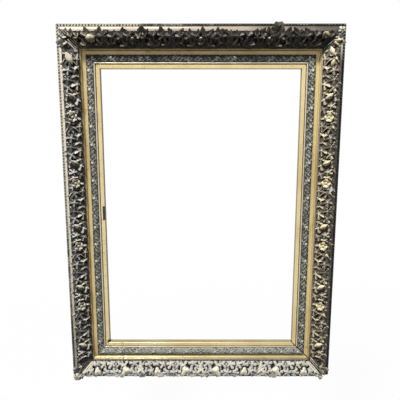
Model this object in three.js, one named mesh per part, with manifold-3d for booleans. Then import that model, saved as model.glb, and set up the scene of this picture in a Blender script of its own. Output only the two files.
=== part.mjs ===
// An empty picture frame in millimetres: +Z is up, the front faces -Y and the back lies in the plane y = 0.
// Every moulding is drawn as a section: "inward" runs from the outer edge towards the opening,
// "forward" runs from the back plane towards the viewer.
import * as THREE from "three";
import { mergeVertices } from "three/addons/utils/BufferGeometryUtils.js";
import Module from "manifold-3d";

const wasm = await Module();
wasm.setup();

// Whole frame
const frameWidth = 774;
const frameHeight = 1016;
const mouldingWidth = 119;
const clearance = 0.3;
const mitreGap = 0.4;
const openMitreGap = 4.2;

// Outer rails and the beaded rim
const outerWallInset = 1.5;
const rimWidth = 6.5;
const rimLedge = 8;
const rimBase = 3;
const rimRound = 2.4;
const coveFoot = 11;
const coveTop = 59;
const ridgeInward = 29.5;
const ridgeForward = 67;
const footForward = 46;
const footLip = 2;
const bedBulge = 2.5;
const bedThickness = 3;
const tongueWidth = 9;
const tongueForward = 30;

// Gilt inner moulding, flower band and sight slip
const innerWidth = 50;
const innerBack = 6;
const giltTop = 41;
const giltFloor = 34;
const giltFillet = 7;
const bandWidth = 19;
const bandHeight = 4.4;
const bandEdge = 2.2;
const bandFlowerStart = 41.5;
const bandFlowerPitch = 49;
const bandFlowerReach = 4.2;
const bandFlowerHeight = 1.7;
const fineBeadRadius = 2.2;
const slipLedge = 20;
const slipWidth = 12;
const rebateWidth = 9;
const grooveForward = 31;
const grooveWidth = 2;
const slipFront = 37;
const slipBack = 18;
const sightRound = 1.2;

// Foliage
const repeatLength = 175;
const stemShare = 0.13;
const stemLeafShare = 0.24;
const firstLeafShare = 0.41;
const secondLeafShare = 0.57;
const smallLeafShare = 0.735;
const lastLeafShare = 0.88;
const flowerBedShare = 0.475;
const petalCount = 5;
const petalReach = 17;
const petalNotch = 9;
const flowerHeight = 8;
const budRadius = 5;
const budHeight = 3;
const leafBedShare = 0.45;
const leafReaches = [19, 20, 16, 10];
const leafHeight = 9;
const leafLean = 0.25;
const smallLeafReach = 17;
const smallLeafWaist = 9;
const smallLeafLean = 0.7;
const palmetteLobes = 7;
const palmetteReach = 18;
const palmetteTaper = 0.6;
const palmetteNotch = 0.6;
const rootDepth = 2;
const stemSpan = 38;
const stemRadius = 2.6;
const stemCourse = [[0, 0.95], [0.08, 0.5], [0.42, 0.12], [0.85, 0.3], [1, 0.85]];

// Reeded corner leaves
const reedCount = 4;
const reedSpacing = 5.6;
const reedRadius = 3.8;
const reedLift = 1.2;
const crownLift = 0.8;
const reedInset = 1.5;
const cornerTipReach = 14;
const cornerSideReach = 8;
const cornerTipWaist = 5;

// Back hardware
const keyLength = 66;
const keyWidth = 14;
const keyDepth = 6;
const keyInward = 30;
const buttonLength = 34;
const buttonWidth = 11;
const buttonThickness = 1.3;
const buttonShortArm = 8;
const buttonSetback = 17;
const buttonHeightShare = 0.25;
const screwRadius = 1.7;
const screwHeadRadius = 3.6;
const screwHeadHeight = 1.9;
const screwCrownRadius = 2.6;
const screwLength = 15;
const screwPointLength = 4;
const hangerHeightShare = 0.22;
const strapSetback = 5.5;
const strapLength = 38;
const strapWidth = 12;
const strapThickness = 1.2;
const knuckleEnd = 0.35;
const wireRadius = 1.5;
const ringHalfWidth = 10;
const ringReach = 24;
const strapScrewStations = [12, 32];

// Facets of round features
const arcSteps = 6;
const bedSteps = 3;
const stemSteps = 6;
const reedSteps = 3;
const ringSteps = 12;
const ringArcPoints = 4;
const buttonArcSteps = 5;
const stemSideSteps = 2;
const wireSideSteps = 3;
const roundSides = 8;
const mergeDistance = 1e-4;

// Derived stations of the section
const outerLipInward = mouldingWidth - innerWidth;
const innerRebateInward = outerLipInward - tongueWidth;
const footInward = outerLipInward - footLip;
const rebateInward = mouldingWidth - rebateWidth;
const slipInward = mouldingWidth - slipWidth;
const fineBeadEnd = slipInward - clearance;
const bandSeatEnd = fineBeadEnd - 2 * fineBeadRadius;
const bandInward = bandSeatEnd - clearance - bandWidth;
const giltCoveInward = bandInward - giltFillet;
const flowerInward = THREE.MathUtils.lerp(ridgeInward, footInward, flowerBedShare);
const leafInward = THREE.MathUtils.lerp(ridgeInward, footInward, leafBedShare);
const buttonInward = rebateInward - buttonSetback;
const hangerInward = rimWidth + strapSetback + strapLength;
const knuckleRadius = wireRadius + clearance + strapThickness;
const topEdge = (outerWallInset + innerRebateInward) / 2;

// The sides in order round the frame, in quarter turns about Y, each with the corner at its end.
// Rails carry foliage mirrored about their middle; the lower right mitre stands open.
const sides = [
  { name: "bottom", corner: "bottom_right", turn: 0, mirrored: true },
  { name: "right", corner: "top_right", turn: -1, mirrored: false },
  { name: "top", corner: "top_left", turn: 2, mirrored: true },
  { name: "left", corner: "bottom_left", turn: 1, mirrored: false },
];
for (const side of sides) {
  side.length = side.mirrored ? frameWidth : frameHeight;
  side.startGap = side.name === "right" ? openMitreGap : mitreGap;
  side.endGap = side.name === "bottom" ? openMitreGap : mitreGap;
}

// Materials
function finish(color, roughness, metalness) {
  return new THREE.MeshStandardMaterial({ color, roughness, metalness });
}
const bronzedWood = finish(0x4a4540, 0.5, 0.3);
const agedSilver = finish(0x6f6d64, 0.45, 0.5);
const gilt = finish(0xcfae62, 0.35, 0.8);
const paleWood = finish(0x9a7a52, 0.7, 0);
const brass = finish(0xa98a4a, 0.4, 0.8);
const iron = finish(0x55524e, 0.5, 0.7);

// Solids and booleans
function solidOf(geometry) {
  const bare = geometry.clone();
  bare.deleteAttribute("normal");
  bare.deleteAttribute("uv");
  const merged = mergeVertices(bare, mergeDistance);
  const vertProperties = new Float32Array(merged.getAttribute("position").array);
  const triVerts = new Uint32Array(merged.index.array);
  return new wasm.Manifold(new wasm.Mesh({ numProp: 3, vertProperties, triVerts }));
}

function geometryOf(solid) {
  const { vertProperties, triVerts } = solid.getMesh();
  const geometry = new THREE.BufferGeometry();
  geometry.setAttribute("position", new THREE.BufferAttribute(vertProperties, 3));
  geometry.setIndex(new THREE.BufferAttribute(triVerts, 1));
  return geometry;
}

function joined(geometries) {
  return geometries.map(solidOf).reduce((whole, next) => whole.add(next));
}

function cut(geometry, cutters) {
  const whole = solidOf(geometry);
  return geometryOf(cutters.map(solidOf).reduce((rest, cutter) => rest.subtract(cutter), whole));
}

// A wire or reed of round section along a smooth line through points
function roundBar(points, radius, steps, sideSteps) {
  const section = new THREE.Shape().absarc(0, 0, radius, 0, 2 * Math.PI, false);
  const extrudePath = new THREE.CatmullRomCurve3(points);
  const options = { steps, curveSegments: sideSteps, extrudePath, bevelEnabled: false };
  return new THREE.ExtrudeGeometry(section, options);
}

// The largest body of a solid, without the tips that a trim leaves loose
function mainBody(solid) {
  return solid.decompose().reduce((most, next) => (next.volume() > most.volume() ? next : most));
}

// The gap of a mitre at a forward distance: the open one closes towards the back
function gapAt(gap, forward) {
  return gap === openMitreGap ? THREE.MathUtils.lerp(mitreGap, gap, forward / ridgeForward) : gap;
}

// A bar with a constant section whose ends follow the mitres: x runs along the side, z inward, -y forward.
function mitredBar(section, side, startGap = side.startGap, endGap = side.endGap) {
  const options = { depth: 1, bevelEnabled: false, curveSegments: arcSteps };
  const bar = new THREE.ExtrudeGeometry(section, options);
  const corner = bar.getAttribute("position");
  for (let i = 0; i < corner.count; i++) {
    const inward = corner.getX(i);
    const forward = corner.getY(i);
    const reach = side.length / 2 - inward;
    const atEnd = corner.getZ(i) > 0;
    const gap = gapAt(atEnd ? endGap : startGap, forward) * Math.SQRT1_2;
    const along = atEnd ? reach - gap : gap - reach;
    corner.setXYZ(i, along, -forward, inward);
  }
  return bar;
}

// The sloping bed of the foliage: its forward height at an inward distance, and its slope there.
function bedShare(inward) {
  return (inward - ridgeInward) / (footInward - ridgeInward);
}

function bedForward(inward) {
  const share = bedShare(inward);
  const chord = THREE.MathUtils.lerp(ridgeForward, footForward, share);
  return chord + 4 * bedBulge * share * (1 - share);
}

function bedSlope(inward) {
  const run = footInward - ridgeInward;
  return (footForward - ridgeForward + 4 * bedBulge * (1 - 2 * bedShare(inward))) / run;
}

function bedLine(drop) {
  return Array.from({ length: bedSteps + 1 }, (_, i) => {
    const inward = THREE.MathUtils.lerp(ridgeInward, footInward, i / bedSteps);
    return new THREE.Vector2(inward, bedForward(inward) - drop);
  });
}

// Outer rails
function outerRailSection() {
  const coveStart = rimWidth + clearance;
  const section = new THREE.Shape();
  section.moveTo(outerWallInset, 0);
  section.lineTo(outerWallInset, rimLedge);
  section.lineTo(coveStart, rimLedge);
  section.lineTo(coveStart, coveFoot);
  const coveRun = ridgeInward - coveStart;
  section.absellipse(coveStart, coveTop, coveRun, coveTop - coveFoot, -Math.PI / 2, 0, false);
  bedLine(bedThickness + clearance).forEach((point) => section.lineTo(point.x, point.y));
  section.lineTo(outerLipInward, footForward - bedThickness - clearance);
  section.lineTo(outerLipInward, tongueForward);
  section.lineTo(innerRebateInward, tongueForward);
  section.lineTo(innerRebateInward, 0);
  return section;
}

function outerRail(side) {
  const cutters = [-1, 1].map((end) => mitreKey(side, end, clearance));
  if (!side.mirrored) cutters.push(...strapScrewSeats(side).map(screwHole));
  return cut(mitredBar(outerRailSection(), side), cutters);
}

// Beaded rim, as a round-nosed strip in the ledge of the rail
function rimSection() {
  const foot = rimLedge + clearance;
  const section = new THREE.Shape();
  section.moveTo(0, foot);
  section.lineTo(0, foot + rimBase);
  section.absellipse(rimWidth / 2, foot + rimBase, rimWidth / 2, rimRound, Math.PI, 0, true);
  section.lineTo(rimWidth, foot);
  return section;
}

// Lays a carved element on the bed of a side: heading 0 points outward, a right angle along the side.
function onBed(geometry, along, inward, heading, lift = 0) {
  const slope = bedSlope(inward);
  const outward = new THREE.Vector3(0, slope, -1).normalize();
  const sideways = new THREE.Vector3(1, 0, 0);
  const normal = new THREE.Vector3().crossVectors(outward, sideways);
  const tip = outward.clone().applyAxisAngle(normal, -heading);
  const across = new THREE.Vector3().crossVectors(tip, normal);
  const placed = new THREE.Matrix4().makeBasis(across, tip, normal);
  const seat = new THREE.Vector3(along, -bedForward(inward), inward).addScaledVector(normal, lift);
  return geometry.applyMatrix4(placed.setPosition(seat));
}

// A carved relief with a peak over its middle: ridges run out to the lobes, valleys to the notches.
// Its reach at every corner is given from the outward heading round.
function relief(reaches, height) {
  const below = bedThickness + rootDepth;
  const spread = (height + below) / height;
  const peak = new THREE.ConeGeometry(spread, height + below, reaches.length, 1);
  const corner = peak.getAttribute("position");
  for (let i = 0; i < corner.count; i++) {
    const x = corner.getX(i);
    const z = corner.getZ(i);
    const turn = THREE.MathUtils.euclideanModulo(Math.atan2(x, -z) / (2 * Math.PI), 1);
    const reach = reaches[Math.round(turn * reaches.length) % reaches.length];
    corner.setXYZ(i, x * reach, corner.getY(i), z * reach);
  }
  return peak.translate(0, (height - below) / 2, 0).rotateX(Math.PI / 2);
}

function flower(along, inward) {
  const reaches = Array.from({ length: 2 * petalCount }, (_, i) => (i % 2 ? petalNotch : petalReach));
  const bud = new THREE.ConeGeometry(budRadius, 2 * budHeight, roundSides, 1).rotateX(Math.PI / 2);
  return [onBed(relief(reaches, flowerHeight), along, inward, 0), onBed(bud, along, inward, 0, flowerHeight)];
}

function lobedLeaf(along, inward, lean) {
  const [tip, shoulder, foot, notch] = leafReaches;
  const reaches = [tip, notch, shoulder, notch, foot, notch, foot, notch, shoulder, notch];
  return onBed(relief(reaches, leafHeight), along, inward, lean);
}

function smallLeaf(along, inward, lean) {
  const half = [smallLeafReach, smallLeafWaist, smallLeafWaist];
  return onBed(relief([...half, ...half], leafHeight), along, inward, lean);
}

// The vine stem curls from the foot of the bed up to the ridge and back
function vineStem(along, flip) {
  const points = stemCourse.map(([share, depth]) => {
    const inward = THREE.MathUtils.lerp(ridgeInward, footInward, depth);
    return new THREE.Vector3(along + flip * stemSpan * share, -bedForward(inward) - stemRadius / 2, inward);
  });
  return roundBar(points, stemRadius, stemSteps, stemSideSteps);
}

// The palmette fans out from the middle of a rail towards the ridge
function palmette() {
  const reaches = Array.from({ length: 2 * palmetteLobes }, (_, i) => {
    const behind = (1 - Math.cos((Math.PI * i) / palmetteLobes)) / 2;
    return palmetteReach * (1 - palmetteTaper * behind) * (i % 2 ? palmetteNotch : 1);
  });
  return onBed(relief(reaches, leafHeight), 0, leafInward, 0);
}

// One repeat after its flower: a vine stem on stiles or a leaf on rails, lobed leaves, a small leaf
function sprig(along, flip, climbing) {
  const at = (share) => along + flip * share * repeatLength;
  return [
    climbing ? vineStem(at(stemShare), flip) : lobedLeaf(at(stemLeafShare), leafInward, -flip * leafLean),
    lobedLeaf(at(firstLeafShare), leafInward, flip * leafLean),
    lobedLeaf(at(secondLeafShare), leafInward, -flip * leafLean),
    smallLeaf(at(smallLeafShare), flowerInward, flip * smallLeafLean),
    lobedLeaf(at(lastLeafShare), leafInward, flip * leafLean),
  ];
}

// Where the repeats of a side start: mirrored from the middle of a rail, running down on the stiles
function stations(side) {
  const count = Math.ceil(side.length / 2 / repeatLength);
  if (side.mirrored) {
    const places = Array.from({ length: count }, (_, i) => i * repeatLength);
    return places.flatMap((along) => [{ along, flip: 1 }, { along: -along, flip: -1 }]);
  }
  const flip = side.name === "right" ? -1 : 1;
  const places = Array.from({ length: 2 * count }, (_, i) => flip * (i - count + 0.5) * repeatLength);
  return places.map((along) => ({ along, flip }));
}

// The room of the carving: above the underside of the bed and, past the ridge, above the hollow of the rail
function carvingRoom(side, innerLimit, startGap, endGap) {
  const top = ridgeForward + 3 * leafHeight;
  const section = new THREE.Shape([
    new THREE.Vector2(clearance, top),
    new THREE.Vector2(clearance, ridgeForward - bedThickness),
    ...bedLine(bedThickness),
    new THREE.Vector2(innerLimit, footForward - bedThickness),
    new THREE.Vector2(innerLimit, top),
  ]);
  return solidOf(mitredBar(section, side, startGap, endGap));
}

function foliage(side) {
  const bed = new THREE.Shape([...bedLine(0), ...bedLine(bedThickness + rootDepth).reverse()]);
  const cornerRoom = (reedCount - 1) * reedSpacing + 2 * reedRadius + 2 * clearance;
  const startGap = Math.max(side.startGap, cornerRoom);
  const endGap = Math.max(side.endGap, cornerRoom);
  const places = stations(side);
  const elements = places.flatMap(({ along, flip }) => sprig(along, flip, !side.mirrored));
  const blooms = places.filter(({ along }) => along !== 0);
  elements.push(...blooms.flatMap(({ along }) => flower(along, flowerInward)));
  if (side.mirrored) elements.push(palmette());
  const whole = joined([mitredBar(bed, side, startGap - rootDepth, endGap - rootDepth), ...elements]);
  return geometryOf(mainBody(whole.intersect(carvingRoom(side, footInward, startGap, endGap))));
}

// Reeded corner leaf, drawn at the end of a side: reeds run parallel to the mitre
function cornerLeaf(side, next) {
  const corner = new THREE.Vector3(side.length / 2, 0, 0);
  const inwardWay = new THREE.Vector3(-Math.SQRT1_2, 0, Math.SQRT1_2);
  const across = new THREE.Vector3(Math.SQRT1_2, 0, Math.SQRT1_2);
  const spot = (offset, inward, lift) => {
    const along = inward * Math.SQRT2 + Math.abs(offset);
    const place = corner.clone().addScaledVector(inwardWay, along).addScaledVector(across, offset);
    return place.setY(-bedForward(inward) - lift);
  };
  const reeds = Array.from({ length: reedCount }, (_, i) => {
    const offset = (i - (reedCount - 1) / 2) * reedSpacing;
    const points = Array.from({ length: reedSteps + 1 }, (_, k) => {
      const inward = THREE.MathUtils.lerp(ridgeInward + reedInset, footInward - reedInset, k / reedSteps);
      return spot(offset, inward, reedLift);
    });
    return roundBar(points, reedRadius, reedSteps, stemSideSteps);
  });
  const waist = cornerTipWaist;
  const tips = [cornerTipReach, waist, cornerSideReach, waist, waist, waist, cornerSideReach, waist];
  const seat = spot(0, ridgeInward, crownLift);
  const towardViewer = new THREE.Vector3(0, -1, 0);
  const outwardWay = inwardWay.clone().negate();
  const turn = new THREE.Matrix4().makeBasis(across.clone().negate(), outwardWay, towardViewer);
  const crown = relief(tips, leafHeight).applyMatrix4(turn.setPosition(seat));
  const past = -mouldingWidth;
  const room = carvingRoom(side, mouldingWidth, past, past);
  const turned = new THREE.Matrix4().makeRotationY(-Math.PI / 2);
  turned.setPosition(side.length / 2, 0, next.length / 2);
  const nextRoom = solidOf(geometryOf(carvingRoom(next, mouldingWidth, past, past)).applyMatrix4(turned));
  return mainBody(joined([...reeds, crown]).intersect(room).intersect(nextRoom));
}

// The open mitre has broken its corner leaf in two
function splitAtMitre(leaf, side) {
  const gap = new THREE.BoxGeometry(frameWidth, frameWidth, side.endGap).rotateY(Math.PI / 4);
  const bodies = leaf.subtract(solidOf(gap.translate(side.length / 2, 0, 0))).decompose();
  const halves = bodies.sort((a, b) => b.volume() - a.volume()).slice(0, 2);
  return halves.sort((a, b) => a.boundingBox().min[2] - b.boundingBox().min[2]);
}

// Gilt inner moulding
function innerMouldingSection() {
  const outer = innerRebateInward + clearance;
  const front = outerLipInward + clearance;
  const under = tongueForward - clearance;
  const section = new THREE.Shape();
  section.moveTo(outer, innerBack);
  section.lineTo(outer, under);
  section.lineTo(front, under);
  section.lineTo(front, giltTop);
  const coveRun = giltCoveInward - front;
  section.absellipse(giltCoveInward, giltTop, coveRun, giltTop - giltFloor, Math.PI, 1.5 * Math.PI, false);
  section.lineTo(bandSeatEnd, giltFloor);
  section.absarc(bandSeatEnd + fineBeadRadius, giltFloor, fineBeadRadius, Math.PI, 0, true);
  section.lineTo(fineBeadEnd, slipLedge);
  section.lineTo(rebateInward, slipLedge);
  section.lineTo(rebateInward, innerBack);
  return section;
}

function innerMoulding(side) {
  return cut(mitredBar(innerMouldingSection(), side), buttonSeats(side).map(screwHole));
}

// Flower band and sight slip
function bandSection() {
  const foot = giltFloor + clearance;
  const section = new THREE.Shape();
  section.moveTo(bandInward, foot);
  section.lineTo(bandInward, foot + bandEdge);
  const round = bandHeight - bandEdge;
  section.absellipse(bandInward + bandWidth / 2, foot + bandEdge, bandWidth / 2, round, Math.PI, 0, true);
  section.lineTo(bandInward + bandWidth, foot);
  return section;
}

// Small flowers stand on the crown of the band, mirrored about the middle of the side
function flowerBand(side) {
  const foot = giltFloor + clearance;
  const limit = side.length / 2 - bandSeatEnd - bandFlowerReach;
  const bars = [mitredBar(bandSection(), side)];
  for (let along = bandFlowerStart; along < limit; along += bandFlowerPitch) {
    for (const place of [-along, along]) {
      const height = bandHeight + bandFlowerHeight - rootDepth;
      const bloom = new THREE.CylinderGeometry(bandFlowerReach / 2, bandFlowerReach, height, petalCount);
      const middle = foot + rootDepth + height / 2;
      bars.push(bloom.rotateX(Math.PI).translate(place, -middle, bandInward + bandWidth / 2));
    }
  }
  return geometryOf(joined(bars));
}

function slipSection() {
  const section = new THREE.Shape();
  section.moveTo(slipInward, slipLedge + clearance);
  section.lineTo(slipInward, grooveForward);
  section.lineTo(slipInward + grooveWidth, grooveForward);
  section.lineTo(slipInward + grooveWidth, slipFront);
  section.lineTo(mouldingWidth - sightRound, slipFront);
  section.quadraticCurveTo(mouldingWidth, slipFront, mouldingWidth, slipFront - sightRound);
  section.lineTo(mouldingWidth, slipBack);
  section.lineTo(rebateInward + clearance, slipBack);
  section.lineTo(rebateInward + clearance, slipLedge + clearance);
  return section;
}

// Mitre key, let into the back across the mitre at an end of a side (1 for the end, -1 for the start)
function mitreKey(side, end, room) {
  const key = new THREE.BoxGeometry(keyLength + 2 * room, keyDepth + 2 * room, keyWidth + 2 * room);
  key.rotateY((-end * Math.PI) / 4);
  return key.translate(end * (side.length / 2 - keyInward), -(keyDepth + clearance) / 2, keyInward);
}

// Wood screw: its head stands on a plate, its shank runs forward into the wood
function screw(seat) {
  const outline = [
    new THREE.Vector2(0, -screwLength),
    new THREE.Vector2(screwRadius, screwPointLength - screwLength),
    new THREE.Vector2(screwRadius, 0),
    new THREE.Vector2(screwHeadRadius, 0),
    new THREE.Vector2(screwCrownRadius, screwHeadHeight),
    new THREE.Vector2(0, screwHeadHeight),
  ];
  return new THREE.LatheGeometry(outline, roundSides).translate(seat.x, seat.y, seat.z);
}

function screwHole(seat) {
  const radius = screwRadius + clearance;
  const hole = new THREE.CylinderGeometry(radius, radius, 2 * (screwLength + clearance), roundSides);
  return hole.translate(seat.x, seat.y, seat.z);
}

// Turn buttons lie in the recess behind the inner moulding, along the side when they are open
function buttonSeats(side) {
  const height = clearance + buttonThickness + clearance - innerBack;
  const places = side.mirrored ? [0] : [-side.length * buttonHeightShare, side.length * buttonHeightShare];
  return places.map((along) => new THREE.Vector3(along, height, buttonInward));
}

function turnButton() {
  const half = buttonWidth / 2;
  const tail = half - buttonShortArm;
  const nose = buttonLength - buttonShortArm - half;
  const outline = new THREE.Shape();
  outline.absarc(tail, 0, half, Math.PI / 2, 1.5 * Math.PI, false);
  outline.absarc(nose, 0, half, -Math.PI / 2, Math.PI / 2, false);
  outline.holes.push(new THREE.Path().absarc(0, 0, screwRadius + clearance, 0, 2 * Math.PI, true));
  const options = { depth: buttonThickness, bevelEnabled: false, curveSegments: buttonArcSteps };
  return new THREE.ExtrudeGeometry(outline, options).rotateX(-Math.PI / 2);
}

// Hangers: a strap on the back of each stile, folded round the bar of a ring
function hangerSeat(side) {
  const away = side.length * hangerHeightShare * (side.name === "right" ? 1 : -1);
  return new THREE.Vector3(away, clearance + knuckleRadius, hangerInward);
}

function strapScrewSeats(side) {
  const pivot = hangerSeat(side);
  const height = clearance + strapThickness + clearance;
  return strapScrewStations.map((station) => new THREE.Vector3(pivot.x, height, pivot.z - station));
}

function hangerStrap() {
  const bore = wireRadius + clearance;
  const section = new THREE.Shape();
  section.moveTo(strapLength, -knuckleRadius);
  section.lineTo(strapLength, strapThickness - knuckleRadius);
  section.lineTo(0, strapThickness - knuckleRadius);
  section.absarc(0, 0, bore, -Math.PI / 2, knuckleEnd, true);
  section.absarc(0, 0, knuckleRadius, knuckleEnd, -Math.PI / 2, false);
  const options = { depth: strapWidth, bevelEnabled: false, curveSegments: arcSteps };
  const folded = new THREE.ExtrudeGeometry(section, options);
  folded.translate(0, 0, -strapWidth / 2).rotateY(Math.PI / 2);
  const holes = strapScrewStations.map((station) => screwHole(new THREE.Vector3(0, 0, -station)));
  return cut(folded, holes);
}

function hangerRing() {
  const bend = ringReach - ringHalfWidth;
  const straight = [0, bend / 2];
  const points = straight.map((reach) => new THREE.Vector3(-ringHalfWidth, 0, reach));
  for (let i = 0; i <= ringArcPoints; i++) {
    const angle = Math.PI * (1 - i / ringArcPoints);
    const reach = bend + ringHalfWidth * Math.sin(angle);
    points.push(new THREE.Vector3(ringHalfWidth * Math.cos(angle), 0, reach));
  }
  straight.reverse().forEach((reach) => points.push(new THREE.Vector3(ringHalfWidth, 0, reach)));
  const loop = roundBar(points, wireRadius, ringSteps, wireSideSteps);
  const barLength = 2 * (ringHalfWidth + wireRadius);
  const bar = new THREE.CylinderGeometry(wireRadius, wireRadius, barLength, roundSides);
  return geometryOf(joined([loop, bar.rotateZ(Math.PI / 2)]));
}

function add(group, name, geometry, material) {
  const mesh = new THREE.Mesh(geometry, material);
  mesh.name = name;
  group.add(mesh);
  return mesh;
}

const root = new THREE.Group();
root.name = "picture_frame";

// Assembly: one group per side, turned about Y to its place
sides.forEach((side, index) => {
  const group = new THREE.Group();
  group.name = "side_" + side.name;
  const turn = (side.turn * Math.PI) / 2;
  const middle = topEdge - frameHeight / 2;
  const span = side.mirrored ? frameHeight : frameWidth;
  group.rotation.y = turn;
  group.position.set((-span / 2) * Math.sin(turn), 0, middle - (span / 2) * Math.cos(turn));
  root.add(group);

  const beam = (side.mirrored ? "rail_" : "stile_") + side.name;
  add(group, beam, outerRail(side), bronzedWood);
  add(group, "beaded_rim_" + side.name, mitredBar(rimSection(), side), bronzedWood);
  add(group, "foliage_" + side.name, foliage(side), agedSilver);
  add(group, "gilt_moulding_" + side.name, innerMoulding(side), gilt);
  add(group, "flower_band_" + side.name, flowerBand(side), agedSilver);
  add(group, "sight_slip_" + side.name, mitredBar(slipSection(), side), gilt);
  add(group, "mitre_key_" + side.corner, mitreKey(side, 1, 0), paleWood);

  const leaf = cornerLeaf(side, sides[(index + 1) % sides.length]);
  if (side.endGap === openMitreGap) {
    const [railHalf, stileHalf] = splitAtMitre(leaf, side);
    add(group, "corner_leaf_" + side.corner + "_rail_half", geometryOf(railHalf), agedSilver);
    add(group, "corner_leaf_" + side.corner + "_stile_half", geometryOf(stileHalf), agedSilver);
  } else {
    add(group, "corner_leaf_" + side.corner, geometryOf(leaf), agedSilver);
  }

  buttonSeats(side).forEach((seat, place, seats) => {
    const upper = (place === 0) === (side.name === "left");
    const suffix = side.name + (seats.length > 1 ? (upper ? "_upper" : "_lower") : "");
    const button = add(group, "turn_button_" + suffix, turnButton(), brass);
    button.position.set(seat.x, seat.y - clearance - buttonThickness, seat.z);
    add(group, "turn_button_screw_" + suffix, screw(seat), brass);
  });

  if (!side.mirrored) {
    const pivot = hangerSeat(side);
    add(group, "hanger_strap_" + side.name, hangerStrap(), iron).position.copy(pivot);
    add(group, "hanger_ring_" + side.name, hangerRing(), iron).position.copy(pivot);
    const [near, far] = strapScrewSeats(side);
    add(group, "hanger_screw_" + side.name + "_inner", screw(near), iron);
    add(group, "hanger_screw_" + side.name + "_outer", screw(far), iron);
  }
});

export default root;
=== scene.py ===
import math
import random

import bmesh
import bpy
import numpy as np
from mathutils import Matrix, Vector


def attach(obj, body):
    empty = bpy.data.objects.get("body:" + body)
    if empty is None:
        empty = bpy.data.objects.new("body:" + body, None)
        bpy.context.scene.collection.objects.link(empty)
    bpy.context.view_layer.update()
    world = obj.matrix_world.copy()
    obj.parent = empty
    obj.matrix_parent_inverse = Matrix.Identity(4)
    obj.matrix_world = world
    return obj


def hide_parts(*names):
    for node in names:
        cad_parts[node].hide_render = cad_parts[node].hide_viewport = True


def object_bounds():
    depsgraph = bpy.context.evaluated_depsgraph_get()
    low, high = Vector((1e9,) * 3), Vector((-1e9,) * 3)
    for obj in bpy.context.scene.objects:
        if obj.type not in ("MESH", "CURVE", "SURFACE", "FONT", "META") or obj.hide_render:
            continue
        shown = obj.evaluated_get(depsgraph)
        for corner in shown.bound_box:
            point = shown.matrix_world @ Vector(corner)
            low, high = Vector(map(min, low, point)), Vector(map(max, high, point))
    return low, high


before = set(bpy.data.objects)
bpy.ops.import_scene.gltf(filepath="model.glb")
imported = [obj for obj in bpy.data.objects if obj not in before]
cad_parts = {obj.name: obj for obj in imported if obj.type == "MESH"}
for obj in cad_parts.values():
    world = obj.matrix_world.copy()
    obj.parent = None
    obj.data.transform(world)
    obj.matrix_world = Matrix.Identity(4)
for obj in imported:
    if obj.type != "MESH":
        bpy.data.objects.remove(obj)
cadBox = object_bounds()
print("packed frame loaded")

mm = 0.001
halfRoot = math.sqrt(0.5)
forwardWay = Vector((0, -1, 0))
dice = random.Random(11)

# Whole frame: the sides run round it, with the opening on their inward side
frameSize = {"width": 774, "height": 1016, "middle": -477.25, "mitreGap": 0.4, "openGap": 4.2, "openAt": 67}
up, across = Vector((0, 0, 1)), Vector((1, 0, 0))
sides = {}
for name, along, inward in (
    ("bottom", across, up), ("right", up, -across), ("top", -across, -up), ("left", -up, across),
):
    upright = name in ("left", "right")
    length, span = (frameSize[key] for key in (("height", "width") if upright else ("width", "height")))
    sides[name] = {
        "name": name, "upright": upright, "length": length, "along": along, "inward": inward,
        "edge": up * frameSize["middle"] - inward * span / 2, "gaps": [frameSize["mitreGap"]] * 2,
    }
sides["bottom"]["gaps"][1] = sides["right"]["gaps"][0] = frameSize["openGap"]


def placed(side, along, inward, forward):
    return (side["edge"] + side["along"] * along + side["inward"] * inward + forwardWay * forward) * mm


# The same for a whole grid of places
def placedGrid(side, *amounts):
    spots = np.array(side["edge"])
    for way, amount in zip((side["along"], side["inward"], forwardWay), amounts):
        spots = spots + amount[..., None] * np.array(way)
    return spots * mm


# Distance along a side for a share from 0 to 1 between its mitres; an open mitre closes towards the back
def alongAt(side, share, inward, openness=1.0):
    shut = frameSize["mitreGap"]
    first, last = [(shut + (gap - shut) * openness) * halfRoot for gap in side["gaps"]]
    reach = side["length"] / 2 - inward
    return (first - reach) * (1 - share) + (reach - last) * share


def alongOf(side, spot):
    return (spot / mm - side["edge"]).dot(side["along"])


# Wear and painted light and shade change along a side: values at even steps from its first mitre to its last
def wearAndLightAt(side, table, along):
    values = table[side["name"]]
    return np.interp(along / side["length"] + 0.5, np.linspace(0, 1, len(values)), values)


def arc(middle, radii, fromAngle, toAngle, steps):
    turns = np.linspace(math.radians(fromAngle), math.radians(toAngle), steps + 1)
    return [(middle[0] + radii[0] * math.cos(a), middle[1] + radii[1] * math.sin(a)) for a in turns]


# Shapes carry marks of wear for their finishes, and of painted light and shade where a side or facet is made
# paler or darker
markNames = ("rub", "deep", "tone")


def newShape():
    bm = bmesh.new()
    return bm, [bm.verts.layers.float.new(name) for name in markNames]


def marksOf(bm):
    return [bm.verts.layers.float[name] for name in markNames]


def fillGrid(bm, columns, rows, size=1):
    bmesh.ops.create_grid(bm, x_segments=columns, y_segments=rows, size=size)


def faceOut(bm):
    bmesh.ops.recalc_face_normals(bm, faces=bm.faces)


def closeShell(bm):
    bmesh.ops.remove_doubles(bm, verts=bm.verts, dist=0.00001)
    bmesh.ops.holes_fill(bm, edges=[e for e in bm.edges if e.is_boundary], sides=0)
    faceOut(bm)


# Faces with more than four corners are the mitred ends; every caller gives them the dark bronze finish,
# painted shade inside the mitre gaps
def finishEnds(bm, slot):
    for face in bm.faces:
        if len(face.verts) > 4:
            face.material_index = slot


def seated(seat, ways, size=mm):
    return Matrix.Translation(seat) @ Matrix(ways).transposed().to_4x4() @ Matrix.Scale(size, 4)


def moveShape(bm, matrix):
    bmesh.ops.transform(bm, verts=bm.verts, matrix=matrix)
    faceOut(bm)


def block(*size):
    bm = bmesh.new()
    bmesh.ops.create_cube(bm, size=1)
    bmesh.ops.scale(bm, verts=bm.verts, vec=size)
    return bm


def soften(bm, edges, offset, segments=2):
    bmesh.ops.bevel(bm, geom=edges, offset=offset, offset_type="OFFSET", affect="EDGES", segments=segments,
                    profile=0.5, material=-1)


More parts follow.
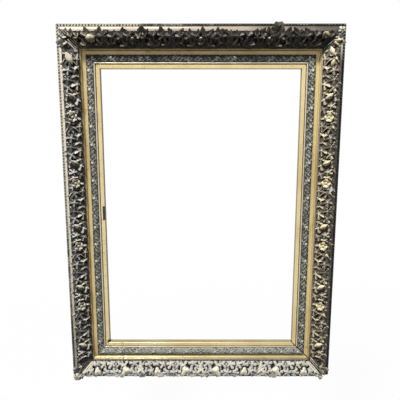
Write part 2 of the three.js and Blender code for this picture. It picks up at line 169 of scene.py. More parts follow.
def extruded(bm, faces):
    made = bmesh.ops.extrude_face_region(bm, geom=faces)["geom"]
    return [v for v in made if isinstance(v, bmesh.types.BMVert)]


# A moulding with a constant section, mitred at both ends; slots give each step of the section its finish
def mouldingStrip(side, section, slots, endSlot, steps=1):
    bm = bmesh.new()
    count = len(section)
    fillGrid(bm, steps, count)
    for face in bm.faces:
        face.material_index = slots[int((face.calc_center_median().y + 1) / 2 * count)]
    for v in bm.verts:
        inward, forward = section[round((v.co.y + 1) / 2 * count) % count]
        along = alongAt(side, (v.co.x + 1) / 2, inward, forward / frameSize["openAt"])
        v.co = placed(side, along, inward, forward)
    closeShell(bm)
    finishEnds(bm, endSlot)
    return bm


# A closed strip from a grid of places, each row going once round the section, with its marks
def gridStrip(spots, *values):
    bm, marks = newShape()
    steps, count = len(spots) - 1, len(spots[0])
    fillGrid(bm, steps, count)
    for v in bm.verts:
        i, j = round((v.co.x + 1) / 2 * steps), round((v.co.y + 1) / 2 * count) % count
        v.co = spots[i, j]
        for mark, value in zip(marks, values):
            v[mark] = value[i, j]
    closeShell(bm)
    return bm


def toMesh(name, bm):
    mesh = bpy.data.meshes.new(name)
    bm.to_mesh(mesh)
    bm.free()
    return mesh


def link(name, data):
    made = bpy.data.objects.new(name, data)
    bpy.context.scene.collection.objects.link(made)
    return made


def addPiece(name, bm, finishes, nodes, body="frame", sharpAngle=38):
    mesh = toMesh(name, bm)
    for finish in finishes:
        mesh.materials.append(finish)
    mesh.shade_smooth()
    mesh.set_sharp_from_angle(angle=math.radians(sharpAngle))
    piece = link(name, mesh)
    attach(piece, body)
    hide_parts(*nodes)


# Nodes of the finishes
def put(tree, kind, inputs=None, **settings):
    made = tree.nodes.new(kind)
    for key, value in settings.items():
        setattr(made, key, value)
    for key, value in (inputs or {}).items():
        socket = made.inputs[key]
        if isinstance(value, bpy.types.NodeSocket):
            tree.links.new(value, socket)
        else:
            socket.default_value = (*value, 1) if socket.type == "RGBA" else value
    return made


def calc(tree, operation, first, second=0.0):
    return put(tree, "ShaderNodeMath", {0: first, 1: second}, operation=operation).outputs[0]


def stretch(tree, value, low, high, toLow=0.0, toHigh=1.0):
    inputs = {"Value": value, 1: low, 2: high, 3: toLow, 4: toHigh}
    return put(tree, "ShaderNodeMapRange", inputs, interpolation_type="SMOOTHSTEP").outputs[0]


def times(tree, first, second):
    return calc(tree, "MULTIPLY", first, second)


# Coats of colour laid over the first one, each with its share
def layered(tree, colour, *coats):
    for share, coat in coats:
        colour = put(tree, "ShaderNodeMix", {0: share, 6: colour, 7: coat}, data_type="RGBA").outputs[2]
    return colour


def cloud(tree, place, scale, detail=4.0, roughness=0.6):
    inputs = {"Vector": place, "Scale": scale, "Detail": detail, "Roughness": roughness}
    return put(tree, "ShaderNodeTexNoise", inputs).outputs["Fac"]


def drift(tree, place, scale, detail=4.0):
    return calc(tree, "SUBTRACT", cloud(tree, place, scale, detail), 0.5)


def newGroup(name, inputs, outputs):
    group = bpy.data.node_groups.new(name, "ShaderNodeTree")
    for label, kind in inputs.items():
        group.interface.new_socket(label, in_out="INPUT", socket_type="NodeSocket" + kind)
    for label in outputs:
        group.interface.new_socket(label, in_out="OUTPUT", socket_type="NodeSocketFloat")
    return group, group.nodes.new("NodeGroupInput").outputs, group.nodes.new("NodeGroupOutput").inputs


def useGroup(tree, group, inputs):
    return put(tree, "ShaderNodeGroup", inputs, node_tree=group).outputs


# Old patina: high points rubbed bright, hollows full of grime, a pitted skin; on the carving the marks it is
# given also carry painted light and shade
def makePatina():
    group, given, result = newGroup(
        "agedPatina",
        {"Place": "Vector", "Rub": "Float", "Deep": "Float", "Patches": "Float", "Grain": "Float"},
        ["Rubbed", "Grime", "Pits"],
    )
    patches = drift(group, given["Place"], given["Patches"])
    grain = drift(group, given["Place"], given["Grain"], 3.0)
    mottle = calc(group, "ADD", times(group, patches, 0.9), times(group, grain, 0.6))
    rubbed, grimy = calc(group, "ADD", given["Rub"], mottle), calc(group, "SUBTRACT", given["Deep"], mottle)
    group.links.new(stretch(group, rubbed, 0.38, 0.68), result["Rubbed"])
    group.links.new(stretch(group, grimy, 0.15, 0.7), result["Grime"])
    group.links.new(calc(group, "ADD", grain, times(group, patches, 0.5)), result["Pits"])
    return group


# Sawn wood: long grain along one way of the piece, with growth rings and pores
def makeWoodGrain():
    group, given, result = newGroup(
        "sawnWood", {"Place": "Vector", "Stretch": "Vector", "Rings": "Float"}, ["Figure", "Pores"]
    )
    mapped = put(group, "ShaderNodeMapping", {"Vector": given["Place"], "Scale": given["Stretch"]}).outputs[0]
    figure, pores = cloud(group, mapped, given["Rings"], 5.0, 0.5), cloud(group, mapped, 260.0, 2.0, 0.5)
    group.links.new(stretch(group, figure, 0.3, 0.7), result["Figure"])
    group.links.new(stretch(group, pores, 0.52, 0.7), result["Pores"])
    return group


patina, woodGrain = makePatina(), makeWoodGrain()
bumpStrength = 0.6


def startFinish(name):
    finish = bpy.data.materials.new(name)
    finish.use_nodes = True
    finish.node_tree.nodes.clear()
    return finish, finish.node_tree, put(finish.node_tree, "ShaderNodeTexCoord").outputs["Object"]


def endFinish(finish, colour, roughness, metal, height, bumpDepth, sheen=0.5):
    tree = finish.node_tree
    bump = put(tree, "ShaderNodeBump", {"Height": height, "Distance": bumpDepth, "Strength": bumpStrength})
    shader = put(tree, "ShaderNodeBsdfPrincipled", {
        "Base Color": colour, "Roughness": roughness, "Metallic": metal, "Specular IOR Level": sheen,
        "Normal": bump.outputs[0],
    })
    put(tree, "ShaderNodeOutputMaterial", {"Surface": shader.outputs[0]})
    return finish


def markOf(tree, name):
    return put(tree, "ShaderNodeAttribute", attribute_name=name).outputs["Fac"]


# Carved ornament: dark silvered bronze with cream and gold on what stands proud
def carvedFinish(name, look):
    finish, tree, place = startFinish(name)
    rub, deep, tone = [markOf(tree, label) for label in markNames]
    aged = useGroup(tree, patina, {
        "Place": place, "Rub": rub, "Deep": deep, "Patches": look["patches"], "Grain": look["grain"],
    })
    bright = layered(tree, look["rubbed"], (tone, look["gold"]))
    colour = layered(tree, look["body"], (aged["Grime"], look["grime"]), (aged["Rubbed"], bright))
    roughness = stretch(tree, aged["Pits"], -0.5, 0.5, *look["roughness"])
    metal = stretch(tree, aged["Grime"], 0.0, 1.0, look["metal"], 0.0)
    return endFinish(finish, colour, roughness, metal, aged["Pits"], look["pitDepth"], look["sheen"])


leafLook = {
    "patches": 45.0, "grain": 420.0, "body": (0.088, 0.084, 0.077), "grime": (0.009, 0.008, 0.007),
    "rubbed": (0.52, 0.515, 0.485), "gold": (0.84, 0.745, 0.49), "roughness": (0.28, 0.46), "metal": 0.0,
    "sheen": 0.22, "pitDepth": 0.0005,
}
bronzedLook = {**leafLook, "body": (0.112, 0.094, 0.07), "rubbed": (0.46, 0.42, 0.32)}  # top and right sides
dustedLook = {**leafLook, "rubbed": (0.52, 0.515, 0.475), "gold": (0.84, 0.78, 0.62)}  # the lower rail
gessoLook = {  # where a leaf broke off
    **leafLook, "body": (0.56, 0.58, 0.63), "rubbed": (0.74, 0.76, 0.80), "grime": (0.30, 0.30, 0.31),
}
bandLook = {
    **leafLook, "patches": 60.0, "grain": 600.0, "body": (0.22, 0.225, 0.20), "grime": (0.045, 0.045, 0.04),
    "rubbed": (0.44, 0.445, 0.39), "gold": (0.70, 0.70, 0.60), "roughness": (0.3, 0.48), "pitDepth": 0.0004,
}
beadLook = {
    "patches": 30.0, "grain": 500.0, "body": (0.05, 0.046, 0.04), "grime": (0.008, 0.007, 0.007),
    "rubbed": (0.58, 0.54, 0.45), "gold": (0.7, 0.6, 0.35), "roughness": (0.26, 0.46), "metal": 0.1,
    "sheen": 0.3, "pitDepth": 0.0003,
}
hollowLook = {
    "pale": (0.70, 0.66, 0.55), "dull": (0.30, 0.26, 0.20), "tarnish": (0.085, 0.068, 0.05),
    "stain": (0.07, 0.055, 0.04), "washScale": 14.0, "speckScale": 300.0, "roughness": (0.3, 0.5),
    "metal": 0.05, "speckDepth": 0.0002,
}


# The hollow outside the ridge: silver gone taupe with wear and stain specks; its paler and darker stretches
# along each side are painted light and shade
def hollowFinish(name, look):
    finish, tree, place = startFinish(name)
    wash, specks = drift(tree, place, look["washScale"], 5.0), cloud(tree, place, look["speckScale"], 3.0)
    wornAndLit = calc(tree, "ADD", markOf(tree, "wornAndLit"), wash)
    coats = {"dull": stretch(tree, wornAndLit, -0.9, -0.25), "pale": stretch(tree, wornAndLit, 0.1, 0.9),
             "stain": stretch(tree, specks, 0.6, 0.72)}
    colour = layered(tree, look["tarnish"], *[(share, look[coat]) for coat, share in coats.items()])
    roughness = stretch(tree, wash, -0.2, 0.2, *look["roughness"])
    return endFinish(finish, colour, roughness, look["metal"], specks, look["speckDepth"])


# Gold leaf on gesso: laps of leaf, rubbing to red clay and umber, fine cracks
leafing = {"lapScale": 9.0, "rubScale": 55.0, "speckScale": 700.0, "crackScale": 38.0, "crackWidth": 0.018,
           "crackedAreas": 6.0, "crackShade": 0.7, "clayMetal": 0.2, "depth": 0.0003}


def giltFinish(name, look):
    finish, tree, place = startFinish(name)
    tint = stretch(tree, cloud(tree, place, leafing["lapScale"], 5.0), 0.35, 0.65)
    rubs = stretch(tree, cloud(tree, place, leafing["rubScale"], 6.0, 0.7), 0.6, 0.72)
    specks = cloud(tree, place, leafing["speckScale"], 2.0)
    cells = {"Vector": place, "Scale": leafing["crackScale"]}
    cracks = put(tree, "ShaderNodeTexVoronoi", cells, feature="DISTANCE_TO_EDGE").outputs["Distance"]
    cracked = stretch(tree, cloud(tree, place, leafing["crackedAreas"]), 0.5, 0.62)
    cracking = times(tree, stretch(tree, cracks, 0.0, leafing["crackWidth"], 1.0, 0.0), cracked)
    colour = layered(tree, look["leaf"], (tint, look["deepLeaf"]),
                     (times(tree, rubs, look["wear"]), look["clay"]),
                     (times(tree, cracking, leafing["crackShade"]), look["umber"]))
    roughness = stretch(tree, specks, 0.3, 0.7, *look["roughness"])
    metal = stretch(tree, rubs, 0.0, 1.0, look["metal"], leafing["clayMetal"])
    height = calc(tree, "SUBTRACT", times(tree, specks, 0.4), cracking)
    return endFinish(finish, colour, roughness, metal, height, leafing["depth"])


giltLook = {
    "leaf": (0.74, 0.59, 0.29), "deepLeaf": (0.58, 0.44, 0.20), "clay": (0.24, 0.12, 0.05),
    "umber": (0.05, 0.035, 0.02), "wear": 0.75, "roughness": (0.26, 0.42), "metal": 0.3,
}
# painted shade: a darker copy of the gilding for the lower moulding
shadedGiltLook = {**giltLook, "leaf": (0.50, 0.42, 0.22), "deepLeaf": (0.40, 0.33, 0.16)}  # the lower moulding
slipLook = {
    "leaf": (0.86, 0.70, 0.36), "deepLeaf": (0.72, 0.56, 0.26), "clay": (0.34, 0.20, 0.09),
    "umber": (0.07, 0.05, 0.03), "wear": 0.6, "roughness": (0.24, 0.4), "metal": 0.5,
}
dullLook = {
    "leaf": (0.74, 0.67, 0.54), "deepLeaf": (0.60, 0.52, 0.40), "clay": (0.20, 0.12, 0.06),
    "umber": (0.05, 0.035, 0.02), "wear": 0.8, "roughness": (0.3, 0.45), "metal": 0.2,
}
# dark gilding of the grooves and inner walls; on the lower moulding it is also the flower band's painted
# shadow
grooveAndShadowLook = {
    "leaf": (0.37, 0.32, 0.18), "deepLeaf": (0.29, 0.24, 0.13), "clay": (0.18, 0.11, 0.06),
    "umber": (0.03, 0.02, 0.015), "wear": 0.6, "roughness": (0.35, 0.5), "metal": 0.05,
}


def woodFinish(name, look, *grainStretch):
    finish, tree, place = startFinish(name)
    grain = useGroup(tree, woodGrain, {"Place": place, "Stretch": grainStretch, "Rings": look["rings"]})
    dirt = stretch(tree, cloud(tree, place, 11.0, 6.0), 0.42, 0.7)
    colour = layered(tree, look["light"], (grain["Figure"], look["dark"]),
                     (times(tree, grain["Pores"], 0.5), look["pore"]),
                     (times(tree, dirt, look["dirt"]), look["pore"]))
    roughness = stretch(tree, grain["Figure"], 0.0, 1.0, 0.62, 0.8)
    height = calc(tree, "SUBTRACT", times(tree, grain["Figure"], 0.5), grain["Pores"])
    return endFinish(finish, colour, roughness, 0.0, height, look["depth"])


backLook = {
    "rings": 30.0, "light": (0.30, 0.19, 0.10), "dark": (0.17, 0.10, 0.05), "pore": (0.06, 0.035, 0.02),
    "dirt": 0.6, "depth": 0.0004,
}
keyLook = {
    "rings": 40.0, "light": (0.42, 0.29, 0.16), "dark": (0.30, 0.19, 0.10), "pore": (0.12, 0.07, 0.04),
    "dirt": 0.35, "depth": 0.0004,
}


hardware = {"patches": 90.0, "grain": 900.0, "roughness": (0.3, 0.6), "metal": (0.95, 0.5),
            "pitDepth": 0.0002}


# Old hardware: worn metal with tarnish in patches and fine scratches
def metalFinish(name, look):
    finish, tree, place = startFinish(name)
    aged = useGroup(tree, patina, {
        "Place": place, "Rub": look["rub"], "Deep": look["deep"], "Patches": hardware["patches"],
        "Grain": hardware["grain"],
    })
    coats = (aged["Grime"], look["tarnish"]), (aged["Rubbed"], look["bright"])
    roughness = stretch(tree, aged["Grime"], 0.0, 1.0, *hardware["roughness"])
    metal = stretch(tree, aged["Grime"], 0.0, 1.0, *hardware["metal"])
    colour = layered(tree, look["metalColour"], *coats)
    return endFinish(finish, colour, roughness, metal, aged["Pits"], hardware["pitDepth"])


brassLook = {"rub": 0.25, "deep": 0.45, "metalColour": (0.55, 0.38, 0.13), "tarnish": (0.16, 0.10, 0.04),
             "bright": (0.75, 0.58, 0.26)}
ironLook = {"rub": 0.15, "deep": 0.5, "metalColour": (0.20, 0.19, 0.18), "tarnish": (0.09, 0.045, 0.02),
            "bright": (0.38, 0.37, 0.35)}

carvedLeaf = carvedFinish("silveredCarving", leafLook)
bronzedLeaf = carvedFinish("bronzedCarving", bronzedLook)
dustedLeaf = carvedFinish("dustedCarving", dustedLook)
bareGesso = carvedFinish("bareGesso", gessoLook)
carvedBand = carvedFinish("silveredBand", bandLook)
darkBead = carvedFinish("bronzedBeads", beadLook)
hollow = hollowFinish("tarnishedHollow", hollowLook)
gilt = giltFinish("wornGilding", giltLook)
shadedGilt = giltFinish("shadedGilding", shadedGiltLook)
grooveAndShadowGilt = giltFinish("grooveAndShadowGilding", grooveAndShadowLook)
slipGilt = giltFinish("slipGilding", slipLook)
dullGilt = giltFinish("dullGilding", dullLook)
uprightWood = woodFinish("oldPineUpright", backLook, 1.0, 1.0, 0.06)
levelWood = woodFinish("oldPineLevel", backLook, 0.06, 1.0, 1.0)
keyWood = woodFinish("keyHardwood", keyLook, 1.0, 1.0, 1.0)
brass = metalFinish("agedBrass", brassLook)
iron = metalFinish("darkIron", ironLook)
for side in sides.values():
    side["wood"] = uprightWood if side["upright"] else levelWood
print("finishes mixed")

# Sloping bed of the carving, from the ridge down to its foot by the gilding
bed = {"ridge": 29.5, "ridgeForward": 67, "foot": 67, "footForward": 46, "width": 43.2, "bulge": 2.5,
       "under": 3, "clear": 0.3, "steps": 8}
bedRun, bedFall = bed["foot"] - bed["ridge"], bed["footForward"] - bed["ridgeForward"]


def bedForward(inward):
    share = (inward - bed["ridge"]) / bedRun
    return bed["ridgeForward"] + bedFall * share + 4 * bed["bulge"] * share * (1 - share)


def bedSlope(inward):
    return (bedFall + 4 * bed["bulge"] * (1 - 2 * (inward - bed["ridge"]) / bedRun)) / bedRun


def bedLine(below):
    return [(u, bedForward(u) - below) for u in np.linspace(bed["ridge"], bed["foot"], bed["steps"] + 1)]


def inwardAt(rise):
    return bed["foot"] - bedRun * rise / bed["width"]


# Outer rails: flat back, ledge for the beads, hollow up to the ridge
rail = {
    "outer": 1.5, "ledge": 8, "hollowFoot": (6.8, 11), "hollowTop": 59, "lip": 69, "tongue": (60, 30),
    "steps": 16, "wearSteps": 12,
    # values per side paint light and shade on the hollow: paler towards the top left and the tops of the
    # stiles, darkest at the right end of the top rail and the foot of the right stile
    "wornAndLit": {"top": (-0.9, -0.5, 0.0, 0.4), "left": (1.5, 0.2), "right": (-0.6, 0.75), "bottom": (0.2, 0.3)},
}


def railSection():
    r, drop = rail, bed["under"] + bed["clear"]
    footIn, footOut = r["hollowFoot"]
    front = [(r["outer"], 0), (r["outer"], r["ledge"]), (footIn, r["ledge"])]
    radii = (bed["ridge"] - footIn, r["hollowTop"] - footOut)
    sweep = arc((footIn, r["hollowTop"]), radii, -90, 0, r["steps"])
    lip, tongue = r["lip"], r["tongue"]
    back = [(lip, bed["footForward"] - drop), (lip, tongue[1]), tongue, (tongue[0], 0)]
    section = front + sweep + bedLine(drop) + back
    return section, [2, 2] + [0] * (len(section) - 5) + [1] * 3


for side in sides.values():
    strip = mouldingStrip(side, *railSection(), 2, rail["wearSteps"])
    # the hollow's painted light and shade, stored per vertex
    wornAndLit = strip.verts.layers.float.new("wornAndLit")
    for v in strip.verts:
        v[wornAndLit] = wearAndLightAt(side, rail["wornAndLit"], alongOf(side, v.co))
    node = ("stile_" if side["upright"] else "rail_") + side["name"]
    addPiece("outer_" + node, strip, [hollow, side["wood"], darkBead], [node])
print("outer rails swept")

# Beaded rim: a quirked strip with a row of beads, big and small by turns
rim = {
    "section": [(0.2, 8.3), (0.2, 10.4), (0.6, 11.0), (1.1, 11.1), (1.5, 10.7), (5.2, 10.7), (5.6, 11.1),
                (6.1, 11.0), (6.5, 10.4), (6.5, 8.3)],
    "pitch": 8.3, "radii": (2.7, 2.3), "uneven": (0.96, 1.02), "inward": 3.35, "forward": 10.9,
    "beadRub": 0.6, "grime": 0.6, "wearSteps": 24,
    # wear per side is painted light on the beads towards the top left corner and painted shade on the right
    # side
    "wear": {"top": (0.0, 0.2, 0.5, 1.0), "left": (1.0, 0.35), "right": (0.0, 0.05), "bottom": (0.2, 0.2)},
}


def beadRow(side, bm, rub):
    count = int((side["length"] - 2 * rim["inward"]) / rim["pitch"] / 2) * 2
    for i in range(-count // 2, count // 2 + 1):
        radius = rim["radii"][i % 2] * dice.uniform(*rim["uneven"])
        made = bmesh.ops.create_uvsphere(bm, u_segments=8, v_segments=6, radius=radius * mm)["verts"]
        bmesh.ops.rotate(bm, verts=made, cent=(0, 0, 0), matrix=Matrix.Rotation(math.pi / 2, 3, "X"))
        for v in made:
            v[rub] = max(0.0, -v.co.y / (radius * mm)) ** 2 * rim["beadRub"]
        bmesh.ops.translate(bm, verts=made, vec=placed(side, i * rim["pitch"], rim["inward"], rim["forward"]))


for side in sides.values():
    strip = mouldingStrip(side, rim["section"], [0] * len(rim["section"]), 0, rim["wearSteps"])
    rub, deep = strip.verts.layers.float.new("rub"), strip.verts.layers.float.new("deep")
    # rub paints the light and deep paints the shade along each side
    for v in strip.verts:
        v[rub] = wearAndLightAt(side, rim["wear"], alongOf(side, v.co))
        v[deep] = rim["grime"] * (1 - v[rub])
    beadRow(side, strip, rub)
    addPiece("beads_" + side["name"], strip, [darkBead], ["beaded_rim_" + side["name"]])
print("beads set")


# Relief of the carving, worked out over the bed: x runs along the side, rise from the foot to the ridge
def smoothStep(low, high, x):
    share = np.clip((x - low) / (high - low), 0, 1)
    return share * share * (3 - 2 * share)


# Places seen from a leaf: from its middle, then along it and across it
def fromLeaf(x, rise, leaf):
    turn = math.radians(leaf["heading"])
    dx, dy = x - leaf["at"][0], rise - leaf["at"][1]
    return dx, dy, dx * math.sin(turn) + dy * math.cos(turn), dx * math.cos(turn) - dy * math.sin(turn)


def leafRelief(x, rise, leaf):
    _, _, p, q = fromLeaf(x, rise, leaf)
    share = np.clip(p / leaf["length"], 0.001, 0.999)
    notches = (1 - np.abs(np.sin(math.pi * leaf["lobes"] * share))) ** 2
    half = leaf["width"] / 2 * np.sin(math.pi * share ** 0.75) ** 0.6 * (1 - leaf.get("notch", 0.5) * notches)
    edge = 1 - np.abs(q) / np.maximum(half, 0.01)
    wall = smoothStep(0, 0.3, edge) * (p > 0) * (p < leaf["length"])
    rib = np.exp(-((q / 0.9) ** 2))
    veins = 0.5 + 0.5 * np.cos(2 * math.pi * leaf["lobes"] * (p - 0.8 * np.abs(q)) / leaf["length"])
    furrow = 0.3 * rib + 0.35 * veins * smoothStep(0.8, 2.5, np.abs(q))
    lean = 1 + leaf.get("tilt", 0.0) * q / leaf["width"]
    return leaf["height"] * wall * (0.55 + 0.45 * share) * (1 - furrow) * lean


# A lobed leaf: pointed lobes with a crest along each and flat facets beside it, tipped to one side
def lobedRelief(x, rise, leaf, cut):
    dx, dy, p, q = fromLeaf(x, rise, leaf)
    p = p * leaf["squeeze"]
    radius, angle = np.hypot(p, q), np.arctan2(q, p)
    lobe = np.abs(np.cos(angle * leaf["lobes"] / 2))
    size = leaf["size"] * cut["size"]
    share = np.clip(radius / (size * (1 - cut["notch"] + cut["notch"] * lobe ** cut["point"])), 0, 1)
    fromCrest = np.arccos(np.clip(lobe, 0, 1)) * 2 / leaf["lobes"] * radius
    facet = 1 - np.clip(cut["fold"] * (fromCrest / size) ** cut["curve"], 0, 0.7)
    nerves = 0.05 * np.cos(2 * math.pi * (radius + 1.4 * fromCrest) / 3.4)
    lean = np.clip(1 + (leaf["tip"][0] * dx + leaf["tip"][1] * dy) / size, 0.15, 1.7)
    body = leaf["height"] * (1 - 0.4 * share) * (facet - nerves) * lean
    heights = smoothStep(1.0, 0.9, share) * (leaf.get("plinth", 0.0) + body)
    return heights, cut["edge"] * smoothStep(0.8, 0.97, share)


def flowerRelief(x, rise, flower):
    dx, dy = x - flower["at"][0], rise - flower["at"][1]
    radius, angle = np.hypot(dx, dy), np.arctan2(dx, dy)
    petal = np.abs(np.cos(angle * flower["petals"] / 2)) ** 0.5
    share = np.clip(radius / (flower["radius"] * (0.62 + 0.38 * petal)), 0, 1)
    cup = flower["height"] * smoothStep(1.0, 0.75, share) * (0.55 + 0.45 * share) * (0.7 + 0.3 * petal)
    heart = flower["height"] * np.sqrt(np.clip(1 - (radius / (flower["radius"] * 0.3)) ** 2, 0, 1))
    return np.maximum(cup, heart)


def stemRelief(x, rise, points, radius, height):
    nearest = np.full(x.shape, 1e6)
    for (ax, ay), (bx, by) in zip(points[:-1], points[1:]):
        wide, tall = bx - ax, by - ay
        share = np.clip(((x - ax) * wide + (rise - ay) * tall) / (wide * wide + tall * tall), 0, 1)
        nearest = np.minimum(nearest, np.hypot(x - ax - share * wide, rise - ay - share * tall))
    return height * np.sqrt(np.clip(1 - (nearest / radius) ** 2, 0, 1))


def smoothLine(points, steps=6):
    ends = np.array([points[0], *points, points[-1]], float)
    line = []
    for a, b, c, d in zip(ends[:-3], ends[1:-2], ends[2:-1], ends[3:]):
        for t in np.arange(steps) / steps:
            bend = (2 * a - 5 * b + 4 * c - d) * t * t + (3 * b - a - 3 * c + d) * t ** 3
            line.append(0.5 * (2 * b + (c - a) * t + bend))
    return line + [points[-1]]


# One repeat of the carving: a flower, then vine leaves, a thin arching stem, berries and pointed leaves
sprig = {
    "repeat": 175,
    "leaves": [
        {"at": (4, 32), "heading": 62, "length": 19, "width": 12, "height": 6.0, "lobes": 3, "tilt": -0.5},
        {"at": (62, 6), "heading": 60, "length": 25, "width": 15, "height": 6.0, "lobes": 3, "tilt": 0.6},
        {"at": (128, 3), "heading": 72, "length": 20, "width": 11, "height": 5.0, "lobes": 3},
        {"at": (158, 4), "heading": 64, "length": 20, "width": 12, "height": 5.0, "lobes": 3},
    ],
    "lobed": {"columns": 8, "rows": (11, 31), "size": (12, 16), "height": (8.0, 12.0), "tip": (0.1, 0.7),
              "tipAcross": 0.4, "squeeze": (0.75, 1.0), "lobes": (3, 5, 5), "turn": 180, "stray": 0.22,
              "strayRise": 3, "tones": (0.0, 0.05, 0.1, 0.5)},
    "foot": {"pitch": 13.5, "rise": 9, "length": (10, 14), "width": (8, 11), "height": (4.0, 6.0),
             "stray": 0.2, "turn": 35, "tilt": 0.5},
    "arch": [(50, 3), (38, 9), (28, 18), (24, 28), (27, 36), (35, 41)],
    "clearings": {
        "left": [(0, 24, 17), (128, 24, 15)], "right": [(0, 24, 17), (128, 24, 15)],
        "top": [(0, 24, 12)], "bottom": [(0, 24, 15), (47, 27, 13), (128, 27, 13)],
    },
    "blossom": {"at": (-6, 41), "radius": 6, "height": 6.5, "petals": 4},
    "berries": [(66, 33), (71, 37), (70, 30), (66, 40)],
    "crispCut": {"point": 0.6, "fold": 1.3, "curve": 1, "size": 1.0, "notch": 0.4, "edge": 0.7, "foot": 1.0},
    "softCut": {"point": 0.4, "fold": 3.0, "curve": 2, "size": 0.96, "notch": 0.42, "edge": 1.0, "foot": 1.7},
    "creamCut": {"point": 0.5, "fold": 1.6, "curve": 2, "size": 1.0, "notch": 0.38, "edge": 1.0},
    "cream": [
        {"at": (46, 27), "heading": 25, "size": 11.5},
        {"at": (127, 29), "heading": 170, "size": 10.0},
    ],
    "creamLeaf": {"height": 5.5, "plinth": 5.0, "lobes": 3, "squeeze": 0.8, "tip": (0.1, -0.2)},
    "gilding": {"top": 0.6, "left": 0.5, "right": 1.0, "bottom": 0.3},
    "tones": {"cream": 0.9, "arch": 0.3, "blossom": 0.7, "berry": 0.5},
    "archRadius": 1.7, "archHeight": 8.0, "berryRadius": 2.8, "berryHeight": 8.5,
}


def stray(reach):
    return dice.uniform(-reach, reach)


# Rows of lobed leaves that pack the bed, with a row of tips along its foot, the same in every repeat
def lobedLeaves():
    f = sprig["lobed"]
    made = []
    for row, rise in enumerate(f["rows"]):
        for column in range(f["columns"]):
            along = (column + 0.5 * (row % 2) + stray(f["stray"])) * sprig["repeat"] / f["columns"]
            made.append({
                "at": (along, rise + stray(f["strayRise"])), "heading": stray(f["turn"]),
                "lobes": dice.choice(f["lobes"]), "size": dice.uniform(*f["size"]),
                "height": dice.uniform(*f["height"]), "squeeze": dice.uniform(*f["squeeze"]),
                "tip": (dice.uniform(*f["tip"]), stray(f["tipAcross"])), "tone": dice.choice(f["tones"]),
            })
    return made


def footLeaves():
    f = sprig["foot"]
    count = int(sprig["repeat"] / f["pitch"])
    return [{
        "at": ((i + stray(f["stray"])) * sprig["repeat"] / count, f["rise"]),
        "heading": 180 + stray(f["turn"]), "length": dice.uniform(*f["length"]),
        "width": dice.uniform(*f["width"]), "height": dice.uniform(*f["height"]),
        "lobes": 2, "notch": 0.2, "tilt": stray(f["tilt"]),
    } for i in range(count)]


sprig["lobedLeaves"] = lobedLeaves()
sprig["leaves"] += footLeaves()


def stampSprig(carving, x, rise, start, run, side):
    gilding, lowest, tones = sprig["gilding"][side["name"]], side["name"] == "bottom", sprig["tones"]
    cut = sprig["softCut" if lowest else "crispCut"]
    near = np.abs(x - start - run * sprig["repeat"] / 2) < sprig["repeat"]
    columns = np.flatnonzero(near.any(axis=1))
    if not len(columns):
        return
    part = slice(columns[0], columns[-1] + 1)
    spot = (x[part] - start) * run, rise[part]

    def press(heights, tone, edge=0.0):
        higher = heights > carving["height"][part]
        for name, value in (("tone", tone), ("edge", edge), ("height", heights)):
            carving[name][part] = np.where(higher, value, carving[name][part])

    for leaf in sprig["leaves"]:
        press(leafRelief(*spot, leaf) * cut["foot"], 0.0)
    for leaf in sprig["lobedLeaves"]:
        heights, edge = lobedRelief(*spot, leaf, cut)
        press(heights, leaf["tone"] * gilding, edge)
    for spotX, spotRise, reach in sprig["clearings"][side["name"]]:
        away = np.hypot(spot[0] - spotX, spot[1] - spotRise)
        carving["height"][part] *= 0.3 + 0.7 * smoothStep(0.55 * reach, reach, away)
    if lowest:
        for leaf in sprig["cream"]:
            heights, edge = lobedRelief(*spot, {**sprig["creamLeaf"], **leaf}, sprig["creamCut"])
            press(heights, tones["cream"], edge)
    if side["upright"]:
        arch = stemRelief(*spot, smoothLine(sprig["arch"]), sprig["archRadius"], sprig["archHeight"])
        press(arch, tones["arch"] * gilding)
    press(flowerRelief(*spot, sprig["blossom"]), tones["blossom"])
    for berryX, berryRise in sprig["berries"]:
        ends = [(berryX, berryRise), (berryX + 0.1, berryRise)]
        press(stemRelief(*spot, ends, sprig["berryRadius"], sprig["berryHeight"]), tones["berry"])


def sprigStarts(side):
    repeat = sprig["repeat"]
    if not side["upright"]:
        return [(i * repeat * run, run) for i in range(3) for run in (1, -1)]
    run = 1 if side["name"] == "left" else -1  # the sprigs climb down both stiles
    return [(run * (i - 3) * repeat + run * repeat / 2, run) for i in range(-1, 7)]


# Each pass averages over the first axis and turns the field
def blurred(field, reach):
    for _ in range(2):
        padded = np.pad(field, ((reach, reach), (0, 0)), mode="edge")
        total = np.vstack([np.zeros((1, field.shape[1])), np.cumsum(padded, axis=0)])
        field = ((total[2 * reach + 1:] - total[:-2 * reach - 1]) / (2 * reach + 1)).T
    return field


def weighed(places, weights):
    return sum(places[name] * amount for name, amount in weights.items())


# The ground strip of the carving: a fine grid over the bed raised by the relief, closed underneath
ground = {
    "roll": ((0.4, 0.2), (0.8, 1.0), (0.9, 2.4)), "rollRaised": (0.8, 0.4, 0.1), "alongStep": 1.05,
    "rows": 44, "stipple": 0.35, "mitreFade": (8, 20), "mitreRise": (20, 34), "ridgeFade": (26, 44),
    "ridgeLower": 0.4, "depth": -cadBox[0][1] / mm - 0.4, "faceFrom": (0.6, 2.2),
    "furrowReach": 3, "furrowDepth": 1.8, "crestReach": 7, "crestHeight": 3.2, "creamTone": 0.8,
    # rub on facets that face up is painted light
    "rub": {"face": 0.22, "crest": 0.65, "upFacingLight": 0.3, "furrow": -0.6, "cream": 0.35, "edge": -0.5},
    "grime": {"floor": 0.9, "furrow": 0.8, "edge": 0.6},
    # wear per side is painted light and shade: the top rail darkened except near its left end, the lower rail
    # made paler
    "wear": {"top": (-0.5, -0.5, -0.5, -0.5, -0.1), "left": (-0.06,), "right": (-0.03,), "bottom": (0.4,)},
}


